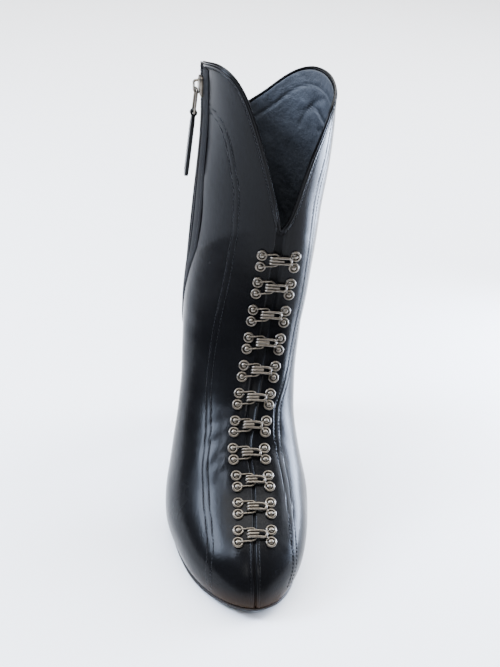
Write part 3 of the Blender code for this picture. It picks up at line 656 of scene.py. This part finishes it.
def upperHalf(side):  # rows from the feather line to the collar, columns from the front to the back
    shares = (1 - np.cos(np.pi * np.linspace(0, 1, upperShape["columns"] + 1))) / 2
    low, mid, top = (upperShape[name] for name in ("lowLevels", "levels", "topLevels"))
    levels = np.concatenate([low, np.linspace(*mid), top])
    collarS, collarAcross = collarPlaces(side)
    lengths = lengthsAlong(skin(collarS, collarAcross, side))
    topS = np.interp(shares * lengths[-1], lengths, collarS)
    topAcross = np.interp(shares * lengths[-1], lengths, collarAcross)
    frontS = evenStations(0, topS[0], 0, side, levels)[:, None]
    backS = evenStations(heelStation, topS[-1], 1, side, levels)[:, None]
    featherS = evenStations(0, heelStation, 1, side, shares)
    v, towardsBack = levels[:, None], (shares**2 * (3 - 2 * shares))[:, None]
    fromFront = sideView(frontS + v * (topS - topS[0]), v * topAcross)
    fromBack = sideView(backS + v * (topS - topS[-1]), 1 - v * (1 - topAcross))
    feather = sideView(featherS, 1.0)
    featherRun = feather - (1 - towardsBack) * feather[0] - towardsBack * feather[-1]
    blended = (1 - towardsBack) * fromFront + towardsBack * fromBack + (1 - v)[..., None] * featherRun
    grid = skinBeside(blended[..., 0], blended[..., 1], side)
    grid[0], grid[-1] = skin(featherS, 1.0, side), skin(topS, topAcross, side)
    grid[:, 0], grid[:, -1] = skin(frontS[:, 0], 0.0, side), skin(backS[:, 0], 1.0, side)
    return grid


def ridge(distance, height, offset, width):  # a raised line, or a sunk one
    return height * np.exp(-(((distance - offset) / width) ** 2))


def fade(values):
    return np.clip(values, 0, 1)


def upperPiece():
    shape = upperShape
    grid = np.concatenate([upperHalf(outer), upperHalf(inner)[:, -2:0:-1]], axis=1)
    onOuter = np.arange(grid.shape[1]) <= shape["columns"]
    around = np.roll(grid, -1, axis=1) - np.roll(grid, 1, axis=1)
    normals = unit(np.cross(around, np.gradient(grid, axis=0)))
    fromFront, frontShare = nearest(grid, skin(frontStations, 0, outer)[::6])
    frontAlong = frontShare * frontLengths[-1]
    toSeam, toCollar, toFeather = np.empty((3, *grid.shape[:2]))
    for side, mask in ((outer, onOuter), (inner, ~onOuter)):
        lines = seamLine(side), collarLine(side)[::2], skin(featherStations, 1, side)[::8]
        for values, line in zip((toSeam, toCollar, toFeather), lines):
            values[:, mask] = nearest(grid[:, mask], line)[0]
    toRow = np.abs(toSeam - seams["rowApart"] / 2)

    gapHalf = np.interp(frontAlong, *zip(*shape["frontGap"]))
    reach, slope = shape["frontWall"]
    relief = -shape["frontDepth"] * fade((gapHalf + reach - fromFront) / slope)
    relief += ridge(fromFront - gapHalf, *shape["foldedEdge"])
    relief += ridge(toSeam, *shape["seamPuff"]) + ridge(toRow, *shape["rowDent"])
    relief += ridge(toCollar, *shape["toplineFold"]) + ridge(toCollar, *shape["toplineDent"])
    relief -= shape["edgeDrop"] * fade(1 - toCollar / shape["edgeRound"]) ** 2
    for line, depth, width in foldLines():
        distance, share = nearest(grid, line)
        q = (distance / width) ** 2
        relief -= depth * (1 - 1.1 * q) * np.exp(-q) * np.sin(np.pi * fade(share)) ** 0.8
    start, slope, least = folds["calmFront"]
    calm = fade(toFeather / folds["calmEdge"]) * fade(toCollar / folds["calmEdge"])
    calm *= np.clip((fromFront - start) / slope, least, 1)
    chance = np.random.default_rng(folds["seed"])
    for _ in range(folds["waves"]):
        way = unit(chance.normal(size=3)) * 2 * np.pi / chance.uniform(*folds["waveMm"])
        relief += folds["waveDepth"] * calm * np.sin(grid @ way + chance.uniform(*folds["wavePhase"]))

    crease = ridge(toCollar, *shape["facingSeam"])
    for places in folds["lining"]:
        toLine, share = nearest(grid[:, onOuter], skinBeside(*smoothPath(places, 40).T, outer))
        crease[:, onOuter] += ridge(toLine, *shape["liningCrease"]) * np.sin(np.pi * fade(share)) ** 0.5
    beside = np.where(frontAlong < seams["frontEnd"], np.abs(fromFront - seams["frontRows"]), 9)
    strength, reach, fall = shape["paintedFloorReflection"]
    end, fadeOut = shape["paintedFloorReflectionEnd"]
    past, slope = shape["underlap"]
    marks = {  # what the material needs to know of the sewing
        "rowDistance": np.minimum(np.minimum(toRow, np.abs(toCollar - seams["toplineRow"])), beside),
        # brown painted along the feather edge, fading out towards the heel: a painted reflection of a brown
        # floor
        "paintedFloorReflection": strength * fade(1 - toFeather / reach) ** fall * fade((end - grid[..., 1]) / fadeOut),
        "liningCrease": crease,
        "underlap": fade((gapHalf + past - fromFront) / slope),
    }
    bm = loft(grid + normals * relief[..., None], ends=False, marks=marks)
    bm.normal_update()
    if max(bm.faces, key=lambda face: face.calc_center_median().x).normal.x < 0:
        bmesh.ops.reverse_faces(bm, faces=bm.faces)
    piece = addPiece("upperShell", bm, [upperCalf, liningStock], replaced=["upper"])
    shell = piece.modifiers.new("wall", "SOLIDIFY")
    shell.thickness = shape["wall"] * mm
    shell.offset = -1
    shell.material_offset = 1


upperPiece()


# stitches: short waxed threads pulled into the leather
def stitchTemplate():
    bm = bmesh.new()
    bmesh.ops.create_uvsphere(bm, u_segments=6, v_segments=4, radius=mm)
    return meshOf("stitch", bm)


def rowPlaces(points, normals, lift):
    lengths, ahead, shortest = lengthsAlong(points), 0.4, 0.05
    radius = seams["threadRadius"]
    for at in np.arange(seams["pitch"] / 2, lengths[-1], seams["pitch"]):
        point, normal, onward = (np.array([np.interp(at + step, lengths, axis) for axis in rows.T])
                                 for step, rows in ((0, points), (0, normals), (ahead, points)))
        if np.linalg.norm(onward - point) >= shortest:
            size = (seams["stitch"] / 2, radius, radius * seams["threadFlat"])
            yield placeMatrix(point + normal * lift, onward - point, normal, size)


def offsetRow(line, side, distance, lift):  # a row of stitches beside a line on the skin
    normals = sideNormal(line[:, 1], line[:, 2], side)
    run = unit(np.gradient(line, axis=0))
    return rowPlaces(line + np.cross(normals, run) * distance, normals, lift)


def stitchRows():
    places, lift = [], seams["lift"]
    for side in (outer, inner):
        for way in (-1, 1):
            places += offsetRow(seamLine(side), side, way * seams["rowApart"] / 2, lift["seam"])
        places += offsetRow(collarLine(side)[1:-1], side, -side * seams["toplineRow"], lift["topline"])
        beside = [frontFrame(along, side * seams["frontRows"]) for along in np.linspace(*seams["frontRun"])]
        places += rowPlaces(*(np.array(values) for values in zip(*beside)), lift["front"])
    return places


stitch = stitchTemplate()
scatterPiece("upperStitches", stitchRows(), thread)


# topline: the folded edge of the collar, a fine bead round the opening
topline = {"radius": 0.95, "inset": 1.1, "points": 150}


def toplineBead():
    ring = []
    for side, way in ((outer, 1), (inner, -1)):
        line = collarLine(side)
        line[0, 1] += 0.001  # just behind the front line, where the skin has a side
        outward = sideNormal(np.maximum(line[:, 1], line[0, 1]), line[:, 2], side)
        outward[0], outward[-1] = (0, -1, 0), (0, 1, 0)
        bead = evenly(line - outward * topline["inset"], np.linspace(0, 1, topline["points"]))
        ring.append(bead[::way][:-1])
    bm = bmesh.new()
    sweepInto(bm, [np.concatenate(ring)], topline["radius"], closed=True, finish=3)
    addPiece("toplineBead", bm, [plainCalf])


toplineBead()


# hooks and eyes down the front
fastening = {
    "count": 11, "first": 211.4, "spacing": 16.98, "ringAcross": 9.25, "ringPitch": 7.0,
    "hookRing": [(110, 9.5), (212, 11.3)],  # the hooks' side is pulled further out towards the collar
    "ring": [(0.0, 2.2), (0.7, 2.12), (1.3, 1.8), (1.62, 1.35), (1.7, 0.95), (1.92, 0.95), (2.02, 1.3),
             (2.3, 1.56), (2.65, 1.6), (3.0, 1.42), (3.28, 1.0), (3.22, 0.55)],  # dome, well and rim
    "well": (1.64, 1.99), "ringSteps": 22,
    # the bent wire of a hook from its nose: across, height
    "hookLine": [(-3.75, 0.95), (-3.55, 1.6), (-2.9, 2.08), (-1.5, 2.24), (1.4, 2.22), (3.4, 2.08),
                 (4.6, 1.96)],
    "railRadius": 0.74, "railApart": 1.8, "bowEnd": 2.9, "bowHeight": 1.88,
    "tongueRadius": 0.92, "tongueEnd": 3.8, "tongueDrop": 0.18,
    "tieRadius": 0.5, "tieHeight": 1.0,
    "tieLine": [(1.6, 2.6), (2.6, 1.4), (3.0, 0), (2.6, -1.4), (1.6, -2.6)],  # in from the rings, along
    "wireRadius": 0.5,  # and half of an eye's wire: across, along, height
    "eyeLine": [(-9.1, 3.5, 1.2), (-7.4, 3.75, 1.2), (-5.6, 3.72, 1.12), (-2.6, 3.7, 1.1), (-0.5, 3.5, 1.1),
                (0.6, 2.6, 1.1), (1.15, 1.3, 1.1), (1.25, 0, 1.1)],
}


def rivetTemplate():
    bm = bmesh.new()
    verts = [bm.verts.new((radius * mm, 0, height * mm)) for radius, height in fastening["ring"]]
    edges = [bm.edges.new(pair) for pair in zip(verts, verts[1:])]
    bmesh.ops.spin(bm, geom=verts + edges, cent=(0, 0, 0), axis=(0, 0, 1), angle=math.tau,
                   steps=fastening["ringSteps"], use_merge=True)
    bmesh.ops.remove_doubles(bm, verts=bm.verts, dist=0.000001)
    bmesh.ops.recalc_face_normals(bm, faces=bm.faces)
    if max(bm.faces, key=lambda face: face.calc_center_median().z).normal.z < 0:
        bmesh.ops.reverse_faces(bm, faces=bm.faces)
    # the narrow well between dome and rim takes the second, near-black metal: oxide there, deepened with
    # painted shade
    low, high = fastening["well"]
    for face in bm.faces:
        face.material_index = int(low < face.calc_center_median().xy.length / mm < high)
    return meshOf("rivet", bm)


def ringPlaces(along, across):
    for step in (-0.5, 0.5):
        point, normal = frontFrame(along + step * fastening["ringPitch"], across)
        yield placeMatrix(point, (1, 0, 0), normal)


def onFront(along, path):
    return [lifted(along + beside, across, height) for across, beside, height in path]


def hookWires(along, ringAcross):  # the U of the hook, the tongue inside it and the tie between its rings
    line = smoothPath(fastening["hookLine"], 16)
    apart, high = fastening["railApart"], fastening["bowHeight"]
    end = ringAcross - fastening["bowEnd"] - apart
    turn = np.linspace(math.pi / 2, -math.pi / 2, 11)[1:-1]
    rail = [(across, apart, height) for across, height in line] + [(end, apart, high)]
    bow = [(end + apart * math.cos(a), apart * math.sin(a), high) for a in turn]
    loop = rail + bow + [(across, -beside, height) for across, beside, height in rail[::-1]]
    stop = end - fastening["tongueEnd"] + apart
    tongue = [(across, 0, height - fastening["tongueDrop"]) for across, height in line if across < stop]
    tie = [(ringAcross - inward, beside, fastening["tieHeight"]) for inward, beside in fastening["tieLine"]]
    return [onFront(along, path) for path in (loop, tongue, tie)]


def frontFasteners():
    rivet = rivetTemplate()
    hooks, eyes = bmesh.new(), bmesh.new()
    hookPaths, eyePaths = [], []
    half = smoothPath(fastening["eyeLine"], 26)
    eyeLoop = np.concatenate([half, (half * (1, -1, 1))[-2::-1]])
    for number in range(fastening["count"]):
        along = fastening["first"] - number * fastening["spacing"]
        ringAcross = float(np.interp(along, *zip(*fastening["hookRing"])))
        scatterInto(hooks, rivet, ringPlaces(along, ringAcross))
        scatterInto(eyes, rivet, ringPlaces(along, -fastening["ringAcross"]))
        hookPaths.append(hookWires(along, ringAcross))
        eyePaths.append(onFront(along, eyeLoop))
    for name, paths in zip(("railRadius", "tongueRadius", "tieRadius"), zip(*hookPaths)):
        sweepInto(hooks, paths, fastening[name])
    sweepInto(eyes, eyePaths, fastening["wireRadius"])
    for name, bm, kind in (("frontHooks", hooks, "hook"), ("frontEyes", eyes, "eye")):
        solids = [f"{kind}_{number + 1:02d}" for number in range(fastening["count"])]
        addPiece(name, bm, [brass, wellOxideAndShade], replaced=solids)


frontFasteners()


# sole, insole, heel and tip
sole = {
    "edge": 0.5, "gap": 0.3, "stations": 130,
    "thickness": [(0, 1.2), (36, 3.1), (88, 3.1), (130, 2.2)],  # by distance behind the toe
    "ends": 0.0025, "slopeShare": 0.002, "roundness": 0.3, "flat": (0.95, 12), "turn": 0.985,
    "insoleEdge": -3.5, "insoleThick": 2.0,
}
featherPoints = skin(featherStations, 1, outer)


def featherHeight(fromToe):
    return np.interp(fromToe, featherPoints[:, 1], featherPoints[:, 2])


def soleTop(fromToe):
    return featherHeight(fromToe) - sole["gap"]


def soleBottom(fromToe):
    return np.maximum(soleTop(fromToe) - np.interp(fromToe, *zip(*sole["thickness"])), 0)


def insoleTop(fromToe):
    return featherHeight(fromToe) + sole["insoleThick"]


def sheetRings(edge, low, high):
    t = np.linspace(0, 1, sole["stations"])
    shares = sole["ends"] + (1 - 2 * sole["ends"]) * (0.75 * t + 0.25 * (1 - np.cos(np.pi * t)) / 2)
    step, sides = sole["slopeShare"], []
    for side in (inner, outer):
        line = skin(featherStations, 1.0, side)
        run = evenly(line, np.minimum(shares + step, 1)) - evenly(line, np.maximum(shares - step, 0))
        moved = evenly(line, shares)
        moved[:, :2] += unit(np.stack([run[:, 1], -run[:, 0]], -1)) * side * edge
        sides.append(moved)
    reach, count = sole["flat"]
    flat, rounded, bend = np.linspace(-reach, reach, count), sole["roundness"], sole["turn"]
    turn = [(bend, 1 - rounded * 0.3), (1, 1 - rounded), (1, rounded), (bend, rounded * 0.3)]
    loop = [(a, 1) for a in flat] + turn + [(a, 0) for a in flat[::-1]] + [(-a, b) for a, b in turn[::-1]]
    rings = []
    for left, right in zip(*sides):
        mid, half = (left + right) / 2, (right - left) / 2
        ring = [mid + half * a for a, _ in loop]
        rings.append([(x, y, low(y) + (high(y) - low(y)) * b) for (x, y, _), (_, b) in zip(ring, loop)])
    return rings


heelShape = {
    "seat": 205.0, "sides": 64, "rings": 60, "tipSquare": 3.0,
    # height at the back, share of the seat's slope, front, back, half width, squareness of the breast
    "rows": [(6.3, 0, 200.4, 210.9, 5.0, 3.0), (18, 0, 199.6, 211.6, 5.5, 3.0),
             (32, 0, 197.5, 212.6, 6.6, 3.0), (46, 0.1, 193.5, 213.8, 8.6, 3.2),
             (58, 0.3, 187.5, 215.3, 11.8, 3.6), (68, 0.55, 180.5, 216.7, 16.5, 4.2),
             (78, 0.8, 173.5, 218.0, 22.0, 5.0), (86, 0.95, 168.5, 219.0, 25.5, 5.5),
             (92.5, 1.0, 166.0, 219.6, 26.8, 6.0)],
    "tipRows": [(0, 200.8, 210.5, 4.6), (0.35, 200.3, 211.0, 5.1), (0.8, 200.2, 211.1, 5.2),
                (5.4, 200.2, 211.1, 5.2), (5.8, 200.3, 211.0, 5.1), (6.0, 200.6, 210.7, 4.8)],
}


def heelRing(height, follow, front, back, half, square):
    turn = np.linspace(0, 2 * np.pi, heelShape["sides"], endpoint=False)
    ahead, beside = np.cos(turn), np.sin(turn)
    power = np.where(ahead < 0, 2 / square, 1.0)
    fromToe = (front + back) / 2 + (back - front) / 2 * np.sign(ahead) * np.abs(ahead) ** power
    x = heelCentre + half * np.sign(beside) * np.abs(beside) ** power
    slope = soleBottom(fromToe) - soleBottom(heelShape["seat"])
    return np.stack([x, fromToe, height + follow * slope], -1)


def underside():
    sheet = loft(sheetRings(sole["edge"], soleBottom, soleTop))
    addPiece("leatherSole", sheet, [soleEdge], replaced=["outsole"])
    board = loft(sheetRings(sole["insoleEdge"], featherHeight, insoleTop))
    addPiece("sockInsole", board, [liningStock], replaced=["insole"])
    rows = np.array(heelShape["rows"], float)
    heights = np.linspace(rows[0, 0], rows[-1, 0], heelShape["rings"])
    table = np.stack([heights] + [smoothCurve(rows[:, 0], column)(heights) for column in rows.T[1:]], -1)
    heel = loft([heelRing(*row) for row in table])
    addPiece("coveredHeel", heel, [plainCalf], replaced=["heel"])
    tip = loft([heelRing(height, 0, *span, heelShape["tipSquare"]) for height, *span in heelShape["tipRows"]])
    addPiece("topLift", tip, [tipRubber], replaced=["heel_tip"])


underside()


# zip on the inner side: tape, coil, woven tape edges, slider, link and pull tab
zipper = {
    "at": 170.0, "bottom": 104.0, "top": 259.0, "rings": 110,
    # cross-sections by offset and rise
    "tape": [(-3.3, 0.05), (-3.3, 0.4), (-0.25, 0.45), (0.25, 0.45), (3.3, 0.4), (3.3, 0.05)],
    "facing": [(2.5, 0.05), (2.7, 0.75), (3.4, 1.0), (6.0, 0.9), (9.6, 0.7), (10.6, 0.4), (10.9, 0.05)],
    "facingPast": (6, 2.6), "facingRow": 9.2, "rowPast": (4, 1), "rowRise": 0.72,
    "pitch": 1.5, "coil": (1.5, 0.42, 0.42), "coilOffset": 0.55, "coilRise": 0.62, "coilSlant": 0.12,
    "sliderAt": 250.0, "sliderBevel": 0.35, "bridgeBevel": 0.25,
    "slider": [(-6.0, 2.6, 0.5, 2.0), (-3.6, 3.3, 0.5, 3.0), (2.2, 4.0, 0.5, 3.0), (5.6, 4.1, 0.5, 2.2)],
    "bridge": [(-4.0, 2.4, 3.2), (-3.7, 2.4, 5.4), (-2.6, 5.3, 6.3), (2.6, 5.3, 6.3), (3.7, 2.4, 5.4),
               (4.0, 2.4, 3.2)],
    "bridgeHalf": 1.3, "hinge": (-1.5, 4.25), "lean": 6.0,
    "link": (3.0, 14.0, 0.7), "linkCorner": 1.0,  # half width, length and wire radius
    "tabLength": 39.0, "tabHalf": 2.5, "tabNeck": 1.85, "tabThick": 2.2, "tabBevel": 0.4,
    "rollEye": 1.05, "rollRadius": 2.08, "rollEdge": (1.95, 0.2), "rollSides": 20,
    "tabRow": (0.8, 5, 3),  # stitch rows: in from the edge, from the bar and from the tail
}


def zipStrip(profile, bottom, top):  # a strip along the zip
    offsets, rises = np.array(profile, float).T
    rings = []
    for height in np.linspace(bottom, top, zipper["rings"]):
        place = zipper["at"] + offsets, np.full(len(offsets), height)
        rings.append(skinBeside(*place, inner) + sideNormal(*place, inner) * rises[:, None])
    return loft(rings)


def zipPieces():
    bottom, top = zipper["bottom"], zipper["top"]
    addPiece("zipTape", zipStrip(zipper["tape"], bottom, top), [zipWeave], replaced=["zip_chain"])
    places, rows = [], []
    for k, height in enumerate(np.arange(bottom + 1, top, zipper["pitch"] / 2)):
        way = 1 if k % 2 else -1
        place = np.array([zipper["at"] + way * zipper["coilOffset"]]), np.array([height])
        normal = sideNormal(*place, inner)[0]
        point = skinBeside(*place, inner)[0] + normal * zipper["coilRise"]
        places.append(placeMatrix(point, (0, 1, way * zipper["coilSlant"]), normal, zipper["coil"]))
    scatterPiece("zipCoil", places, zipNylon)
    facings = bmesh.new()
    below, above = zipper["facingPast"]
    rowBelow, rowAbove = zipper["rowPast"]
    heights = np.linspace(bottom - rowBelow, top + rowAbove, 120)
    for way in (-1, 1):
        profile = [(way * offset, rise) for offset, rise in zipper["facing"]]
        joinInto(facings, zipStrip(profile, bottom - below, top + above))
        line = np.full(len(heights), zipper["at"] + way * zipper["facingRow"]), heights
        rows += rowPlaces(skinBeside(*line, inner), sideNormal(*line, inner), zipper["rowRise"])
    addPiece("zipFacings", facings, [zipWeave])
    scatterPiece("zipStitches", rows, thread)


def bevelled(bm, offset):
    bmesh.ops.bevel(bm, geom=bm.edges[:], offset=offset * mm, segments=2, profile=0.5, affect="EDGES",
                    material=-1)
    return bm


def corners(centre, across, half, out, low, high):  # a box's outline at one place along it
    places = (-half, low), (half, low), (half, high), (-half, high)
    return [centre + across * u + out * w for u, w in places]


def sliderAndPull():
    place = np.array([zipper["at"]]), np.array([zipper["sliderAt"]])
    point, out = skinBeside(*place, inner)[0], sideNormal(*place, inner)[0]
    rise = skinBeside(place[0], place[1] + 1, inner)[0] - point
    back = unit(np.cross(out, rise))
    up = np.cross(back, out)
    body = [corners(point + up * raised, back, half, out, low, high)
            for raised, half, low, high in zipper["slider"]]
    slider = bevelled(loft(body), zipper["sliderBevel"])
    bridge = [corners(point + up * raised, back, zipper["bridgeHalf"], out, low, high)
              for raised, low, high in zipper["bridge"]]
    joinInto(slider, bevelled(loft(bridge), zipper["bridgeBevel"]))
    addPiece("zipSliderBody", slider, [brass], replaced=["zip_slider"])

    axis = unit(back * (1, 1, 0))
    centre = point + up * zipper["hinge"][0] + out * zipper["hinge"][1]
    lean, plumb = math.radians(zipper["lean"]), np.array([0, 0, -1.0])
    down = plumb * math.cos(lean) + np.cross(axis, plumb) * math.sin(lean)
    outward = np.cross(axis, down)
    pullLink(centre, axis, down)
    pullTab(centre + down * zipper["link"][1], axis, down, outward)


def pullLink(centre, axis, down):  # a closed loop of wire with round corners
    half, length, radius = zipper["link"]
    corner = zipper["linkCorner"]
    quarter = [(half - corner + corner * math.sin(a), corner - corner * math.cos(a))
               for a in np.linspace(0, math.pi / 2, 6)]
    outline = quarter + [(u, length - v) for u, v in quarter[::-1]]
    outline += [(-u, v) for u, v in outline[::-1]]
    link = bmesh.new()
    sweepInto(link, [[centre + axis * u + down * v for u, v in outline]], radius, closed=True, finish=3)
    addPiece("pullLinkWire", link, [brass], "zip_pull", ["zip_pull_link"])


def pullTab(bar, axis, down, outward):  # a strap rolled round the link's bar
    wide, neck, reach = zipper["tabHalf"], zipper["tabNeck"], zipper["tabLength"]
    thick = zipper["tabThick"] / 2
    tail = [(1.6, neck), (2.8, neck), (4.6, wide), (12, wide), (24, wide), (reach - 2.2, wide),
            (reach - 0.8, wide * 0.75), (reach, wide * 0.35)]
    strap = [corners(bar + down * drop, axis, half, outward, -thick, thick) for drop, half in tail]
    tab = bevelled(loft(strap), zipper["tabBevel"])
    eye, full, (edge, inset) = zipper["rollEye"], zipper["rollRadius"], zipper["rollEdge"]
    turn = np.linspace(0, math.tau, zipper["rollSides"], endpoint=False)
    roll = [(-neck, eye), (-neck, edge), (-neck + inset, full), (neck - inset, full), (neck, edge),
            (neck, eye), (0, eye), (-neck, eye)]
    rollMesh = loft([[bar + axis * u + (outward * math.cos(a) + down * math.sin(a)) * radius for a in turn]
                     for u, radius in roll], ends=False)
    bmesh.ops.recalc_face_normals(rollMesh, faces=rollMesh.faces)
    joinInto(tab, rollMesh)
    addPiece("pullTabLeather", tab, [plainCalf], "zip_pull", ["zip_pull_tab"])
    inward, first, final = zipper["tabRow"]
    drops, rows = np.linspace(first, reach - final, 60)[:, None], []
    for way in (-1, 1):
        for face in (-1, 1):
            points = bar + down * drops + axis * way * (wide - inward) + outward * face * thick
            rows += rowPlaces(points, np.broadcast_to(outward * face, points.shape), 0.0)
    scatterPiece("pullStitches", rows, thread, "zip_pull")


zipPieces()
sliderAndPull()

# floor, light and camera
stage = {
    "floor": "#f4f4f5", "floorRoughness": 0.7, "floorHalf": 6, "world": "#eef2f8", "worldStrength": 0.1,
    "lights": [  # place, size, power, colour and spread of each soft light
        ((0.0, 1.1, 2.5), (3.6, 2.8), 290, "#ffffff", 180),
        ((-1.05, 0.1, 0.9), (0.46, 0.5), 46, "#d4e4ff", 180),
        ((1.3, 0.5, 0.9), (0.8, 0.8), 46, "#e6efff", 180),
        ((-0.1, -1.3, 1.7), (0.8, 0.5), 14, "#ffffff", 180),
        ((0.4, 0.14, 0.07), (0.34, 0.13), 4.5, "#cfe0ff", 110),
        ((-0.75, -0.25, 1.25), (0.2, 0.2), 7, "#dae7ff", 180),
    ],
    "aim": (0.0, 0.0, 0.11),
}


def stagePieces():
    made, tree, shader = newMaterial("paleFloor")
    dress(tree, shader, {}, Base_Color=srgb(stage["floor"]), Roughness=stage["floorRoughness"])
    bm = bmesh.new()
    bmesh.ops.create_grid(bm, x_segments=2, y_segments=2, size=stage["floorHalf"])
    mesh = meshOf("studioFloor", bm)
    mesh.materials.append(made)
    floor = newObject("studioFloor", mesh)
    world = bpy.data.worlds.new("studio")
    world.use_nodes = True
    sky = world.node_tree.nodes["Background"]
    dress(world.node_tree, sky, {}, Color=srgb(stage["world"]), Strength=stage["worldStrength"])
    bpy.context.scene.world = world
    for k, (place, size, power, colour, spread) in enumerate(stage["lights"]):
        lamp = bpy.data.lights.new(f"softbox{k + 1}", "AREA")
        lamp.shape = "RECTANGLE"
        lamp.size, lamp.size_y = size
        lamp.energy = power
        lamp.spread = math.radians(spread)
        lamp.color = srgb(colour)[:3]
        light = newObject(lamp.name, lamp)
        light.location = place
        light.visible_camera = False
        light.rotation_euler = (Vector(stage["aim"]) - Vector(place)).to_track_quat("-Z", "Y").to_euler()


view = {
    "place": (-50.8, -396.5, 402.7), "pitch": 27.7, "yaw": -0.15,  # where the photo was taken from
    "focal": 700.0, "photo": (500, 667), "window": (313.5, 352.0),  # in pixels
    "zoom": 1.4, "sensorMm": 36,
}


def photoCamera():
    pitch, yaw, focal = math.radians(view["pitch"]), math.radians(view["yaw"]), view["focal"]
    right = Vector((math.cos(yaw), -math.sin(yaw), 0))
    ahead = Vector((math.sin(yaw) * math.cos(pitch), math.cos(yaw) * math.cos(pitch), -math.sin(pitch)))
    down = ahead.cross(right)
    across, drop = (at - size / 2 for at, size in zip(view["window"], view["photo"]))
    look = (ahead + right * across / focal + down * drop / focal).normalized()
    right = (right - look * right.dot(look)).normalized()
    up = right.cross(look)
    data = bpy.data.cameras.new("photoCamera")
    reach = focal * view["zoom"] * math.sqrt(1 + (across**2 + drop**2) / focal**2)
    data.lens = reach / view["photo"][1] * view["sensorMm"]
    data.clip_start = 0.01
    camera = newObject("photoCamera", data)
    place = Matrix((right, up, -look)).transposed().to_4x4()
    place.translation = Vector(toWorld(view["place"]))
    camera.matrix_world = place
    bpy.context.scene.camera = camera


stagePieces()
photoCamera()
print("stage set")
